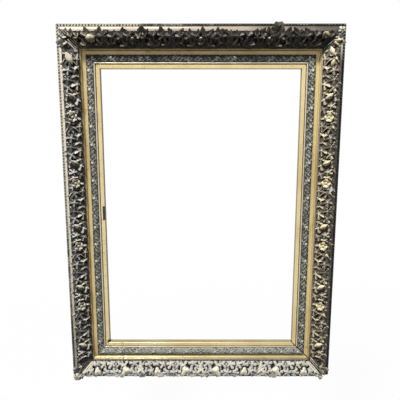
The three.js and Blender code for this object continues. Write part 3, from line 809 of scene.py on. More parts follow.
def carvedGround(side):
    rows = ground["rows"]
    top = [(u, bedForward(u)) for u in np.linspace(bed["foot"], bed["ridge"], rows + 1)]
    roll = [(bed["ridge"] - back, bed["ridgeForward"] - drop) for back, drop in ground["roll"]]
    inward, forward = np.array(top + roll + bedLine(bed["under"])).T[:, None]
    slope = bedSlope(inward)
    normalIn, normalOut = -slope / np.hypot(slope, 1), 1 / np.hypot(slope, 1)
    share = np.linspace(0, 1, int(side["length"] / ground["alongStep"]) + 1)[:, None]
    x = alongAt(side, share, inward)
    rise = np.broadcast_to((bed["foot"] - inward) / bedRun * bed["width"], x.shape)
    carving = {name: np.zeros_like(x) for name in ("height", "tone", "edge")}
    for start, run in sprigStarts(side):
        stampSprig(carving, x, rise, start, run, side)
    relief, tone, edge = carving.values()
    toMitre = side["length"] / 2 - inward - np.abs(x)
    relief *= np.maximum(smoothStep(*ground["mitreFade"], toMitre), smoothStep(*ground["mitreRise"], rise))
    relief *= 1 - ground["ridgeLower"] * smoothStep(*ground["ridgeFade"], rise)
    fromFoot = smoothStep(0, 3, np.arange(rows + 1)) * 0.999 + 0.001
    raised = np.concatenate([fromFoot, ground["rollRaised"], np.zeros(bed["steps"] + 1)])
    grit = np.random.default_rng(5).normal(0, ground["stipple"], x.shape)
    height = (relief + blurred(grit, 1) * (relief < 0.5)) * raised
    face = smoothStep(*ground["faceFrom"], relief)
    climb = (np.gradient(relief, axis=0) / ground["alongStep"] * side["along"].z
             - np.gradient(relief, axis=1) * rows / bed["width"] * side["inward"].z)
    places = {
        "face": face, "floor": 1 - face, "edge": edge, "cream": tone > ground["creamTone"],
        "furrow": np.clip((blurred(relief, ground["furrowReach"]) - relief) / ground["furrowDepth"], 0, 1),
        "crest": np.clip((relief - blurred(relief, ground["crestReach"])) / ground["crestHeight"], 0, 1),
        # painted light: facets that face up are made paler
        "upFacingLight": np.clip(-blurred(climb, 1), -1, 1) * face,  # facets that face up are paler
    }
    # painted light and shade per side: rub raised or lowered on the leaf faces, grime added where it is
    # lowered
    wear = wearAndLightAt(side, ground["wear"], x)
    rub = np.clip(weighed(places, ground["rub"]) + wear * face, 0, 1)
    grime = np.clip(weighed(places, ground["grime"]) - np.minimum(0, wear), 0, 1)
    inward = inward + normalIn * height
    forward = np.minimum(forward + normalOut * height, ground["depth"])
    bm = gridStrip(placedGrid(side, alongAt(side, share, inward), inward, forward), rub * raised, grime, tone)
    finishEnds(bm, 1)
    return bm


# Free-standing leaves and petals: a grid bent to a blade, then thickened to a closed shell
def bladeShape(blade):
    bm, (rub, deep, tone) = newShape()
    fillGrid(bm, *blade["cells"])
    for v in bm.verts:
        side, share = v.co.x, (v.co.y + 1) / 2
        span = blade["root"] + (blade["end"] - blade["root"]) * share
        wide = blade["width"] / 2 * math.sin(math.pi * span) ** blade["point"]
        middle = math.exp(-((side / 0.2) ** 2))
        fold = blade["cup"] * side * side - blade["rib"] * middle
        vein = blade["veins"] * math.cos(math.pi * (blade["lobes"] * 2 * share - 1.5 * abs(side)))
        lift = blade["rise"] * math.sin(math.pi * blade["curl"] * share)
        scallop = 1 - blade["notch"] * abs(math.sin(math.pi * blade["lobes"] * share)) * (abs(side) > 0.9)
        v.co = (side * wide * scallop, share * blade["length"], lift + fold + vein * (abs(side) < 0.95))
        crease = middle + 0.6 * max(0.0, -vein / max(blade["veins"], 0.01))
        v[rub] = blade["shine"] * (0.5 + 0.35 * share + 0.2 * abs(side) - 0.12 * crease)
        v[deep] = max(0.0, 0.4 - share) + 0.1 * crease
        v[tone] = blade["tone"]
    bmesh.ops.solidify(bm, geom=bm.faces[:], thickness=blade["thick"])
    faceOut(bm)
    return toMesh("blade", bm)


def dropShape(bm, shape, matrix):
    before = len(bm.verts)
    bm.from_mesh(shape)
    bm.verts.ensure_lookup_table()
    bmesh.ops.transform(bm, matrix=matrix, verts=bm.verts[before:])


leafBlade = {
    "cells": (10, 14), "length": 26, "width": 15, "root": 0.1, "end": 0.98, "point": 0.9, "cup": -4.2,
    "rib": -0.6, "veins": 0.4, "lobes": 2, "notch": 0.25, "rise": 4.0, "curl": 0.75, "thick": 2.6,
    "shine": 1.15, "tone": 0.95,
}
petalBlade = {
    "cells": (6, 6), "length": 10.5, "width": 12, "root": 0.2, "end": 0.86, "point": 0.6, "cup": 2.2,
    "rib": 0.9, "veins": 0.0, "lobes": 1, "notch": 0.0, "rise": 3.2, "curl": 0.75, "thick": 2.0,
    "shine": 1.05, "tone": 0.85,
}
tipBlade = {
    "cells": (4, 5), "length": 14, "width": 8.5, "root": 0.25, "end": 0.97, "point": 1.0, "cup": -1.6,
    "rib": 0.6, "veins": 0.0, "lobes": 2, "notch": 0.0, "rise": 1.6, "curl": 0.7, "thick": 2.2,
    "shine": 0.65, "tone": 0.15,
}
lobedBlade = {
    "cells": (6, 12), "length": 26, "width": 17, "root": 0.15, "end": 0.97, "point": 0.7, "cup": -1.8,
    "rib": 1.2, "veins": 0.6, "lobes": 3, "notch": 0.3, "rise": 2.4, "curl": 0.8, "thick": 2.4,
    "shine": 0.6, "tone": 0.2,
}
fleckBlade = {**tipBlade, "shine": 1.1, "tone": 0.9, "length": 12}
blades = {
    "leaf": leafBlade, "petal": petalBlade, "tip": tipBlade, "lobed": lobedBlade, "fleck": fleckBlade,
    "lily": {**fleckBlade, "shine": 0.9, "tone": 0.45, "width": 7.5},
    "lobe": {**petalBlade, "shine": 0.2, "tone": 0.05},
    "pale": {**leafBlade, "tone": 0.5},
    "shell": {**petalBlade, "tone": 0.6, "cup": -2.4, "rib": 0.0, "cells": (10, 10)},
    "crown": {**lobedBlade, "shine": 0.25, "rib": 1.6, "rise": 3.2},
}
shapes = {name: bladeShape(blade) for name, blade in blades.items()}
heart = {"radius": 3.4, "flat": 0.8, "dimple": 1.2, "spread": 2.5, "rub": (1.2, 0.6), "tone": 0.8}


def heartShape():
    bm, (rub, _, tone) = newShape()
    bmesh.ops.create_uvsphere(bm, u_segments=12, v_segments=8, radius=heart["radius"])
    for v in bm.verts:
        dimple = math.exp(-(v.co.x ** 2 + v.co.y ** 2) / heart["spread"])
        v.co.z = v.co.z * heart["flat"] - heart["dimple"] * dimple
        v[rub], v[tone] = heart["rub"][0] - heart["rub"][1] * dimple, heart["tone"]
    return toMesh("heart", bm)


shapes["heart"] = heartShape()


# Lays a shape on the bed: heading 0 points to the ridge, a right angle along the run
def lay(bm, kind, side, along, rise, heading, lift, size=1.0, tilt=0.0, start=0.0):
    inward, turn = inwardAt(rise), math.radians(heading)
    outward = (-side["inward"] - forwardWay * bedSlope(inward)).normalized()
    normal = outward.cross(side["along"]).normalized()
    if normal.dot(forwardWay) < 0:
        normal.negate()
    tip = outward * math.cos(turn) + side["along"] * math.sin(turn)
    face = (normal * math.cos(tilt) - tip * math.sin(tilt)).normalized()
    tip = (tip * math.cos(tilt) + normal * math.sin(tilt)).normalized()
    seat = placed(side, along, inward, bedForward(inward)) + normal * lift * mm
    matrix = seated(seat, (tip.cross(face), tip, face)) @ Matrix.Translation((0, start, 0))
    dropShape(bm, shapes[kind], matrix @ Matrix.Scale(size, 4))


flower = {"rise": 24.4, "petals": 5, "lift": 6.5, "start": 1.6, "tilt": 0.1, "turn": 12, "heartLift": 9.5}
lily = {  # blooms of the rails
    "rise": 26, "fan": {180: 1.7, 122: 1.0, -122: 1.0, 58: 1.1, -58: 1.1}, "lift": 6.0, "heartLift": 7.5,
}
bloomLeaf = {"away": 128, "rise": 13, "heading": -32, "lift": 6.0}
flecks = {
    "right": ((22, 29, 40), (64, 27, -60), (84, 12, 100), (104, 28, 20), (152, 26, -30)),
    "left": ((64, 27, -60), (152, 28, -30)),
}
fleckLift = 6.0
keepOff = {"bloom": 40, "leaf": 10, "fleck": 20}  # from the mitres
# blooms on the left stile are made darker and less gold
bloomDarkening, bloomGold = {"left": -0.16}, {"left": 0.45}
ridgeTips = {
    "rise": 32, "lean": 45, "lift": 1.5, "sizes": (0.55, 1.35), "droop": -0.15, "stray": 4,
    "pitch": 12.5, "grow": 1.0, "kind": "tip",
}
sideTips = {"top": {"pitch": 8.0, "grow": 1.3}, "bottom": {"kind": "lobe"}}
longTips = {"rise": 34, "lift": 2.0, "size": 0.85}  # reach past the beads
longTipsAt = {"left": (-450, 455), "right": (450, -455)}
paleLeaves = {  # big pale leaves by the upper corners: kind, along, rise, heading, lift, size
    "left": (("pale", -426, 33, 118, 6.5, 1.3),),
    "top": (("shell", 286, 15, -15, 6.0, 2.0), ("petal", -318, 28, 0, 4.0, 1.4)),
    "right": (("leaf", 456, 28, 0, 6.0, 0.75), ("leaf", 441, 18, -60, 6.0, 0.95),
              ("leaf", 392, 24, 70, 6.0, 0.75)),
}
brokenLeaf = {  # shows bare gesso
    "side": "right", "kind": "tip", "fan": {190: 1.3, 245: 1.1}, "along": 74, "rise": 40, "lift": 6.0,
    "tilt": 0.0,
}
highLeaf = {  # stands above the beads
    "side": "top", "kind": "lobe", "fan": {-48: 1.8, 0: 2.3, 48: 1.8}, "along": -197, "rise": 40,
    "lift": -1.0, "tilt": -0.36,
}


def addFlower(bm, side, along):
    for k in range(flower["petals"]):
        heading = 360 * k / flower["petals"] + flower["turn"]
        lay(bm, "petal", side, along, flower["rise"], heading, flower["lift"], tilt=flower["tilt"],
            start=flower["start"])
    lay(bm, "heart", side, along, flower["rise"], 0, flower["heartLift"])


def addLily(bm, side, along):
    for heading, size in lily["fan"].items():
        lay(bm, "lily", side, along, lily["rise"], heading, lily["lift"], size)
    lay(bm, "heart", side, along, lily["rise"], 0, lily["heartLift"])


def addFan(bm, side, leaf):
    for heading, size in leaf["fan"].items() if side["name"] == leaf["side"] else ():
        lay(bm, leaf["kind"], side, leaf["along"], leaf["rise"], heading, leaf["lift"], size, leaf["tilt"])


def addBlooms(bm, side):
    reach = side["length"] / 2 - inwardAt(flower["rise"])
    for start, run in sprigStarts(side):
        if abs(start) < reach - keepOff["bloom"]:
            if side["upright"]:
                addFlower(bm, side, start)
            elif run > 0 or start:
                addLily(bm, side, start)
        spot = start + run * bloomLeaf["away"]
        if side["upright"] and abs(spot) < reach - keepOff["leaf"]:
            lay(bm, "leaf", side, spot, bloomLeaf["rise"], run * bloomLeaf["heading"], bloomLeaf["lift"])
        for away, rise, heading in flecks.get(side["name"], ()):
            spot = start + run * away
            if abs(spot) < reach - keepOff["fleck"]:
                lay(bm, "fleck", side, spot, rise, run * heading, fleckLift)


def addRidgeTips(bm, side):
    tips = {**ridgeTips, **sideTips.get(side["name"], {})}
    count = int((side["length"] / 2 - inwardAt(tips["rise"])) / tips["pitch"])
    for i in range(-count, count + 1):
        along, heading = i * tips["pitch"] + stray(tips["stray"]), stray(tips["lean"])
        size = dice.uniform(*tips["sizes"]) * tips["grow"]
        lay(bm, tips["kind"], side, along, tips["rise"], heading, tips["lift"], size, tips["droop"])
    for along in longTipsAt.get(side["name"], ()):
        lay(bm, "lobed", side, along, longTips["rise"], 0, longTips["lift"], longTips["size"])


def freeLeaves(side):
    bm, _ = newShape()
    blooms = bm.verts.layers.float.new("bloom")
    addBlooms(bm, side)
    rub, deep, tone = marksOf(bm)
    for v in bm.verts:
        v[blooms] = bloomDarkening.get(side["name"], 0.0)
        v[tone] *= bloomGold.get(side["name"], 1.0)
    addRidgeTips(bm, side)
    # painted light and shade per side on the blooms and ridge tips, as on the carved ground
    for v in bm.verts:
        wear = wearAndLightAt(side, ground["wear"], alongOf(side, v.co))
        v[rub] += wear + v[blooms]
        v[deep] += max(0, -wear)
    for kind, *seat in paleLeaves.get(side["name"], ()):
        lay(bm, kind, side, *seat)
    whole = len(bm.faces)
    addFan(bm, side, brokenLeaf)
    bm.faces.ensure_lookup_table()
    for face in bm.faces[whole:]:
        face.material_index = 2
    addFan(bm, side, highLeaf)
    for v in bm.verts:
        v.co.y = max(v.co.y, -ground["depth"] * mm)  # nothing stands past the solids
    return bm


leafFinishes = {"top": bronzedLeaf, "right": bronzedLeaf, "left": carvedLeaf, "bottom": dustedLeaf}
carvedAngle = 60
for name, side in sides.items():
    ornament = freeLeaves(side)
    ornament.from_mesh(toMesh("carvedGround", carvedGround(side)))
    addPiece("leaf_carving_" + name, ornament, [leafFinishes[name], darkBead, bareGesso], ["foliage_" + name],
             sharpAngle=carvedAngle)
print("foliage carved")

# Corner leaves: reeds along the mitre under a crown of three leaves
cornerLeaf = {"reeds": 4, "reedWidth": 5.6, "reedHeight": 4.0, "base": 1.6, "thick": 4, "cell": 0.9,
              "rows": 18, "openMargin": 0.7, "crownIn": 11, "crownLift": 6.0, "knobLift": 0.8,
              "knobFlat": 0.7}
threeTips = {-52: 0.72, 0: 0.4, 52: 0.72}
# rub per half of the reeds is painted light and shade, set corner by corner; line paints a highlight on the
# reed beside the mitre
corners = {
    "bottom_right": {"side": "bottom", "rub": (1.1, 0.6), "tone": (0.4, 0.3), "line": 0.0},
    "top_right": {"side": "right", "rub": (0.3, 0.1), "tone": (0.1, 0.0), "line": 0.7, "crown": threeTips,
                  "knob": {"offset": 0, "inward": 28, "radius": 10.5, "rub": 0.75, "tone": 0.5}},
    "top_left": {"side": "top", "rub": (0.7, 1.0), "tone": (0.2, 0.2), "line": 0.0,
                 "crown": {-52: 0.72, 0: 0.85, 52: 0.72}},
    "bottom_left": {"side": "left", "rub": (0.3, 1.1), "tone": (0.0, 0.4), "line": 0.0, "crown": threeTips,
                    "knob": {"offset": 0, "inward": 29, "radius": 12.5, "rub": 0.85, "tone": 0.25}},
}
openHalves = {
    "rail": {"way": -1, "crown": {52: 0.6},
             "knob": {"offset": -10, "inward": 26, "radius": 6, "rub": 0.7, "tone": 0.5}},
    "stile": {"way": 1, "crown": {-52: 0.6}},
}


# The last corner of a side, with the ways along its mitre and across it
def cornerWays(side):
    turnIn = (side["inward"] - side["along"]) * halfRoot
    turnAcross = (side["along"] + side["inward"]) * halfRoot
    return side["edge"] + side["along"] * (side["length"] / 2), turnIn, turnAcross


def cornerPoint(side, offset, inward, lift):
    corner, turnIn, turnAcross = cornerWays(side)
    distance = inward / halfRoot + abs(offset)
    return (corner + turnIn * distance + turnAcross * offset + forwardWay * (bedForward(inward) + lift)) * mm


def cornerReeds(corner, side, low, high):
    bm, (rub, deep, tone) = newShape()
    cells = max(8, int((high - low) / cornerLeaf["cell"]))
    fillGrid(bm, cells, cornerLeaf["rows"])
    for v in bm.verts:
        offset = low + (high - low) * (v.co.x + 1) / 2
        share = (v.co.y + 1) / 2
        wave = abs(math.sin(math.pi * offset / cornerLeaf["reedWidth"]))
        fade = math.sin(math.pi * (0.12 + 0.8 * share)) ** 0.4
        height = cornerLeaf["base"] + cornerLeaf["reedHeight"] * wave ** 0.6 * fade
        half = int(offset > 0)
        # painted highlight along the reed next to the mitre
        mitreGlint = corner["line"] * (-cornerLeaf["reedWidth"] < offset < 0)
        v[rub] = corner["rub"][half] * (0.4 + 0.6 * wave) + mitreGlint * wave
        v[deep] = 0.9 * (1 - wave) ** 2
        v[tone] = corner["tone"][half]
        v.co = cornerPoint(side, offset, bed["ridge"] - 1 + (bedRun + 0.5) * share, height)
    faceOut(bm)
    if sum(f.normal.dot(forwardWay) for f in bm.faces) < 0:
        bmesh.ops.reverse_faces(bm, faces=bm.faces)
    walls = 2 * len(bm.faces)
    bmesh.ops.solidify(bm, geom=bm.faces[:], thickness=cornerLeaf["thick"] * mm)
    faceOut(bm)
    bm.faces.ensure_lookup_table()
    for face in bm.faces[walls:]:
        face.material_index = 1
    return bm


def addCrown(bm, side, headings):
    seat = cornerPoint(side, 0, bed["ridge"] + cornerLeaf["crownIn"], cornerLeaf["crownLift"])
    for heading, size in headings.items():
        tip = Matrix.Rotation(math.radians(heading), 3, forwardWay) @ -cornerWays(side)[1]
        dropShape(bm, shapes["crown"], seated(seat, (tip.cross(forwardWay), tip, forwardWay), size * mm))


# A curled leaf end at the outer corner, like a creased ball
def addKnob(bm, side, knob):
    rub, deep, tone = marksOf(bm)
    made = bmesh.ops.create_uvsphere(bm, u_segments=20, v_segments=10, radius=1)["verts"]
    for v in made:
        crease = math.exp(-8 * math.sin(2.5 * math.atan2(v.co.y, v.co.x)) ** 2)
        v[rub], v[deep], v[tone] = knob["rub"] - 0.5 * crease, 0.8 * crease, knob["tone"]
        v.co = Vector((v.co.x, v.co.y, cornerLeaf["knobFlat"] * v.co.z)) * (1 - 0.18 * crease)
    seat = cornerPoint(side, knob["offset"], knob["inward"], cornerLeaf["knobLift"])
    ways = (side["along"], -side["inward"], forwardWay)
    bmesh.ops.transform(bm, verts=made, matrix=seated(seat, ways, knob["radius"] * mm))


def addCorner(name, corner, low, high, crowned):
    side = sides[corner["side"]]
    bm = cornerReeds(corner, side, low, high)
    addCrown(bm, side, crowned["crown"])
    if "knob" in crowned:
        addKnob(bm, side, crowned["knob"])
    addPiece("reeded_" + name, bm, [carvedLeaf, darkBead], [name], sharpAngle=carvedAngle)


halfWidth = cornerLeaf["reeds"] * cornerLeaf["reedWidth"] / 2
openEdge = frameSize["openGap"] / 2 + cornerLeaf["openMargin"]
for cornerName, corner in corners.items():
    node = "corner_leaf_" + cornerName
    if "crown" in corner:
        addCorner(node, corner, -halfWidth, halfWidth, corner)
        continue
    for half, crowned in openHalves.items():
        low, high = sorted((crowned["way"] * openEdge, crowned["way"] * halfWidth))
        addCorner(node + "_" + half + "_half", corner, low, high, crowned)
print("corner leaves set")

# Gilt inner moulding: lip, cove, the floor that carries the flower band, fine bead; on the lower moulding
# that floor takes the dark groove gilding as the band's painted shadow
innerMould = {
    "back": 6, "outer": 60.3, "under": 29.7, "front": 69.3, "top": 41, "chamfer": 0.6, "lipEnd": 71.3,
    "coveStart": 71.9, "coveEnd": 76, "floor": 34, "beadAt": 104.5, "beadRadius": 2.2, "ledge": 20,
    "rebate": 110,
}


def innerSection(floorSlot):
    m = innerMould
    shoulder = m["top"] - m["chamfer"]
    lip = [(m["outer"], m["back"]), (m["outer"], m["under"]), (m["front"], m["under"]),
           (m["front"], shoulder), (m["front"] + m["chamfer"], m["top"]), (m["lipEnd"], m["top"])]
    cove = arc((m["coveEnd"], shoulder), (m["coveEnd"] - m["coveStart"], shoulder - m["floor"]), 180, 270, 12)
    bead = arc((m["beadAt"], m["floor"]), (m["beadRadius"], m["beadRadius"]), 180, 0, 10)
    inner = [(m["beadAt"] + m["beadRadius"], m["ledge"]), (m["rebate"], m["ledge"]), (m["rebate"], m["back"])]
    slots = [2, 2] + [0] * (len(lip) - 3 + len(cove)) + [floorSlot] + [3] * (len(bead) - 1) + [1, 2, 2, 2]
    return lip + cove + bead + inner, slots


for name, side in sides.items():
    lowest = name == "bottom"
    # on the lower moulding the floor under the band takes the dark groove gilding: the band's painted shadow
    strip = mouldingStrip(side, *innerSection(int(lowest)), 4)
    # the lower moulding takes the darker copy of the gilding, painted shade
    finishes = [shadedGilt if lowest else gilt, grooveAndShadowGilt, side["wood"], dullGilt, darkBead]
    addPiece("gilded_cove_" + name, strip, finishes, ["gilt_moulding_" + name])
print("gilt mouldings swept")

# Flower band: a half-round strip with a running spray and a small flower every so often
band = {
    "outer": 83, "width": 19, "foot": 34.3, "body": 3.7, "edge": 0.35, "pitch": 49, "middle": 41.5,
    "rows": 22, "step": 1.0, "tilt": 0.8,
    "flower": {"at": (0, 2.6), "radius": 4.2, "height": 2.0, "petals": 5},
    "rub": {"base": 0.25, "relief": 0.3, "flower": 0.45, "dip": -0.3},
    "grime": {"base": 0.5, "relief": -0.35, "dip": 0.5},
    # wear per side is painted light: the lower band made paler, the right one a little
    "wear": {"right": 0.05, "bottom": 0.35},
}
band["leaves"] = [
    {"at": (-25 + 2.2 * i, dice.uniform(-7.5, 5.5)), "heading": dice.uniform(20, 160),
     "length": dice.uniform(6, 10), "width": dice.uniform(3.6, 5.5), "height": dice.uniform(1.2, 1.9),
     "lobes": 2, "tilt": stray(0.5)}
    for i in range(24)
]


def bandRelief(x, q):
    pitch = band["pitch"]
    beyond = np.abs(x) - band["middle"]
    phase = np.mod(beyond + pitch / 2, pitch) - pitch / 2  # distance from the nearest flower
    height = np.maximum(0, flowerRelief(phase, q, band["flower"]))
    tone = 1.0 * (height > 0)
    for leaf in band["leaves"]:
        heights = leafRelief(phase, q, leaf)
        tone = np.where(heights > height, 0.0, tone)
        height = np.maximum(height, heights)
    return height, tone


def bandStrip(side):
    half = band["width"] / 2
    middle = band["outer"] + half
    angle = np.linspace(math.pi, 0, band["rows"] + 1)
    bulge = np.clip(np.sin(angle), 0, 1)
    body = bulge ** band["edge"] * (band["body"] - band["tilt"] * np.cos(angle))
    inward = np.append(middle + half * np.cos(angle), middle)[None, :]
    forward = band["foot"] + np.append(body, 0)
    x = alongAt(side, np.linspace(0, 1, int(side["length"] / band["step"]) + 1)[:, None], inward)
    height, tone = bandRelief(x, np.broadcast_to(middle - inward, x.shape))
    forward = forward + height * np.append(bulge ** 0.5, 0)
    dip = np.maximum(0, blurred(height, 3) - height)
    places = {"base": 1.0, "relief": height, "flower": tone, "dip": dip}
    # the band's rub also takes the painted light per side
    rub = weighed(places, band["rub"]) + band["wear"].get(side["name"], 0.0)
    return gridStrip(placedGrid(side, x, inward, forward), rub, weighed(places, band["grime"]), tone)


for name, side in sides.items():
    addPiece("flower_strip_" + name, bandStrip(side), [carvedBand], ["flower_band_" + name],
             sharpAngle=carvedAngle)
print("flower bands pressed")

# Sight slips: the gilt edge round the opening, with its quirk beside the fine bead
slip = {
    "outer": 107, "inner": 119, "ledge": 20.3, "quirk": 31, "quirkEnd": 109, "front": 37, "chamfer": 0.5,
    "round": 1.2, "back": 18, "hook": 110.3, "chips": {"left": ((-19, 21), (380, 390))}, "chipStep": 4,
    "chipAt": 113, "chipDepth": 1.6, "chipUneven": (0.4, 1.0), "chipMargin": 2,
}


def slipSection():
    s = slip
    quirk = [(s["outer"], s["ledge"]), (s["outer"], s["quirk"]), (s["quirkEnd"], s["quirk"]),
             (s["quirkEnd"], s["front"] - s["chamfer"]), (s["quirkEnd"] + s["chamfer"], s["front"])]
    sweep = arc((s["inner"] - s["round"], s["front"] - s["round"]), (s["round"], s["round"]), 90, 0, 5)
    sweep = [(s["chipAt"], s["front"])] + sweep
    section = quirk + sweep + [(s["inner"], s["back"]), (s["hook"], s["back"]), (s["hook"], s["ledge"])]
    return section, [2, 1, 1] + [0] * (len(quirk) - 3 + len(sweep) - 1) + [1, 2, 2, 2]


def chipSlip(strip, side, first, last):
    margin = slip["chipMargin"]
    for face in strip.faces:
        spot = face.calc_center_median()
        inward = (spot / mm - side["edge"]).dot(side["inward"])
        if first < alongOf(side, spot) < last and inward > slip["chipAt"]:
            face.material_index = 3
    for v in strip.verts:
        local = v.co / mm - side["edge"]
        inFace = local.dot(side["inward"]) > slip["chipAt"] + 1 and local.dot(forwardWay) > slip["front"] - 2
        if inFace and first + margin < alongOf(side, v.co) < last - margin:
            v.co -= forwardWay * slip["chipDepth"] * dice.uniform(*slip["chipUneven"]) * mm


for name, side in sides.items():
    chips = slip["chips"].get(name, ())
    strip = mouldingStrip(side, *slipSection(), 3, int(side["length"] / slip["chipStep"]) if chips else 1)
    for first, last in chips:
        chipSlip(strip, side, first, last)
    finishes = [slipGilt, grooveAndShadowGilt, side["wood"], darkBead]
    addPiece("gilt_slip_" + name, strip, finishes, ["sight_slip_" + name])
print("sight slips swept")

# Mitre keys across the back of the corners
key = {"length": 66, "width": 14, "depth": 6, "inward": 30, "sunk": -0.12, "soften": 0.8}
for cornerName, leaf in corners.items():
    corner, turnIn, turnAcross = cornerWays(sides[leaf["side"]])
    seat = corner + turnIn * key["inward"] / halfRoot + forwardWay * (key["depth"] / 2 + key["sunk"])
    bm = block(key["length"], key["width"], key["depth"])
    soften(bm, bm.edges[:], key["soften"])
    moveShape(bm, seated(seat * mm, (turnAcross, turnIn, forwardWay)))
    addPiece("wood_key_" + cornerName, bm, [keyWood], ["mitre_key_" + cornerName])
print("mitre keys let in")

# Slotted screw heads with their shanks, standing on plates at the back
screw = {"head": 3.6, "rise": 1.9, "shank": 1.6, "length": 14.8, "point": 4, "slotWidth": 0.45,
         "slotDepth": 0.9, "slotFloor": 0.3, "steps": 20}


def screwShape():
    bm = bmesh.new()
    s = screw
    shank = [(0.0, -s["length"]), (s["shank"], s["point"] - s["length"]), (s["shank"], 0.0)]
    outline = shank + arc((0, 0), (s["head"], s["rise"]), 0, 84, 6) + [(0.0, s["rise"])]
    points = [bm.verts.new((r, 0, z)) for r, z in outline]
    edges = [bm.edges.new(pair) for pair in zip(points[:-1], points[1:])]
    bmesh.ops.spin(bm, geom=points + edges, cent=(0, 0, 0), axis=(0, 0, 1), angle=2 * math.pi,
                   steps=s["steps"], use_merge=True)
    bmesh.ops.remove_doubles(bm, verts=bm.verts, dist=0.001)
    for x in (-s["slotWidth"], s["slotWidth"]):
        whole = bm.verts[:] + bm.edges[:] + bm.faces[:]
        bmesh.ops.bisect_plane(bm, geom=whole, plane_co=(x, 0, 0), plane_no=(1, 0, 0), dist=0.0001)
    middles = [(f, f.calc_center_median()) for f in bm.faces]
    slot = [f for f, middle in middles if middle.z > 0.05 and abs(middle.x) < s["slotWidth"]]
    floor = extruded(bm, slot)
    bmesh.ops.delete(bm, geom=[f for f in slot if f.is_valid], context="FACES_ONLY")
    for v in floor:
        v.co.z = max(s["slotFloor"], v.co.z - s["slotDepth"])
    faceOut(bm)
    return bm


def addScrew(node, side, along, inward, back, finish):
    turn = math.radians(dice.uniform(0, 180))
    turned = Matrix.Rotation(-math.pi / 2, 4, "X") @ Matrix.Rotation(turn, 4, "Z")
    bm = screwShape()
    seat = Matrix.Translation(placed(side, along, inward, -back))
    bmesh.ops.transform(bm, verts=bm.verts, matrix=seat @ turned @ Matrix.Scale(mm, 4))
    addPiece("slotted_" + node, bm, [finish], [node])


# Turn buttons in the recess behind the gilt moulding
button = {"length": 34, "width": 11, "thick": 1.3, "shortArm": 8, "inward": 93, "back": -6, "clear": 0.3,
          "soften": 0.35}
buttonPlaces = {"top": ("top", 0), "bottom": ("bottom", 0), "left_upper": ("left", -254),
                "left_lower": ("left", 254), "right_upper": ("right", 254), "right_lower": ("right", -254)}


def buttonShape():
    b = button
    bm = block(b["length"], b["thick"], b["width"])
    upright = [e for e in bm.edges if abs(e.verts[0].co.y - e.verts[1].co.y) > 0.1]
    soften(bm, upright, b["width"] / 2 - 0.05, 10)
    rims = [e for e in bm.edges if len(e.link_faces) == 2 and e.calc_face_angle(0) > 1.2]
    soften(bm, rims, b["soften"])
    bmesh.ops.translate(bm, verts=bm.verts, vec=(b["length"] / 2 - b["shortArm"], 0, 0))
    return bm


level = button["back"] + button["clear"]
screwLevel = level + button["thick"] + button["clear"]
for name, (sideName, along) in buttonPlaces.items():
    side, node = sides[sideName], "turn_button_" + name
    seat = placed(side, along, button["inward"], -(level + button["thick"] / 2))
    bm = buttonShape()
    moveShape(bm, seated(seat, (side["along"], -forwardWay, side["inward"])))
    addPiece("brass_" + node, bm, [brass], [node], node)
    addScrew("turn_button_screw_" + name, side, along, button["inward"], screwLevel, brass)
print("turn buttons set")

# Hangers: a strap folded round the bar of a wire ring
hanger = {"away": 223.52, "inward": 50, "length": 38, "width": 12, "thick": 1.2, "wire": 1.5, "clear": 0.3,
          "stations": {"inner": 12, "outer": 32}, "ringHalf": 10, "ringReach": 24, "wrapEnd": 20,
          "endRound": 5.2}


def strapShape():
    h = hanger
    bore = h["wire"] + h["clear"]
    outer = bore + h["thick"] - 0.04
    wrap = arc((0, 0), (bore, bore), 270, h["wrapEnd"], 14)
    wrap += arc((0, 0), (outer, outer), h["wrapEnd"], 270, 14)
    section = [(-h["length"], -outer), (-h["length"], -bore)] + [(-x, z) for x, z in wrap]
    bm = bmesh.new()
    outline = bm.faces.new([bm.verts.new((x, z, -h["width"] / 2)) for x, z in section])
    bmesh.ops.translate(bm, verts=extruded(bm, [outline]), vec=(0, 0, h["width"]))
    faceOut(bm)
    ends = [e for e in bm.edges if all(v.co.x < 0.1 - h["length"] for v in e.verts)
            and abs(e.verts[0].co.y - e.verts[1].co.y) > 0.1]
    soften(bm, ends, h["endRound"], 6)
    return bm


def ringShape():
    half, bend = hanger["ringHalf"], hanger["ringReach"] - hanger["ringHalf"]
    turns = np.linspace(0.2, math.pi - 0.2, 14)
    line = [(0.0, -half), (bend, -half)] + [(bend + half * math.sin(a), -half * math.cos(a)) for a in turns]
    line += [(bend, half), (0.0, half)]
    bm = bmesh.new()
    loops = []
    for i, (x, z) in enumerate(line):
        ahead, behind = line[(i + 1) % len(line)], line[i - 1]
        way = Vector((ahead[0] - behind[0], 0, ahead[1] - behind[1])).normalized()
        made = bmesh.ops.create_circle(bm, segments=12, radius=hanger["wire"])["verts"]
        bmesh.ops.rotate(bm, verts=made, cent=(0, 0, 0), matrix=up.rotation_difference(way).to_matrix())
        bmesh.ops.translate(bm, verts=made, vec=(x, 0, z))
        loops.append([e for e in bm.edges if all(v in made for v in e.verts)])
    for first, second in zip(loops, loops[1:] + loops[:1]):
        bmesh.ops.bridge_loops(bm, edges=first + second)
    return bm


level = 2 * hanger["clear"] + hanger["thick"]
for name, way in (("left", -1), ("right", 1)):
    side, along = sides[name], way * hanger["away"]
    pivot = placed(side, along, hanger["inward"], -(hanger["wire"] + level))
    strap, ring = "hanger_strap_" + name, "hanger_ring_" + name
    for shape, node, body in ((strapShape(), strap, "frame"), (ringShape(), ring, ring)):
        moveShape(shape, seated(pivot, (side["inward"], -forwardWay, side["along"])))
        addPiece("iron_" + node, shape, [iron], [node], body)
    for end, station in hanger["stations"].items():
        node, inward = "hanger_screw_" + name + "_" + end, hanger["inward"] - station
        addScrew(node, side, along, inward, level, iron)
print("hangers set")

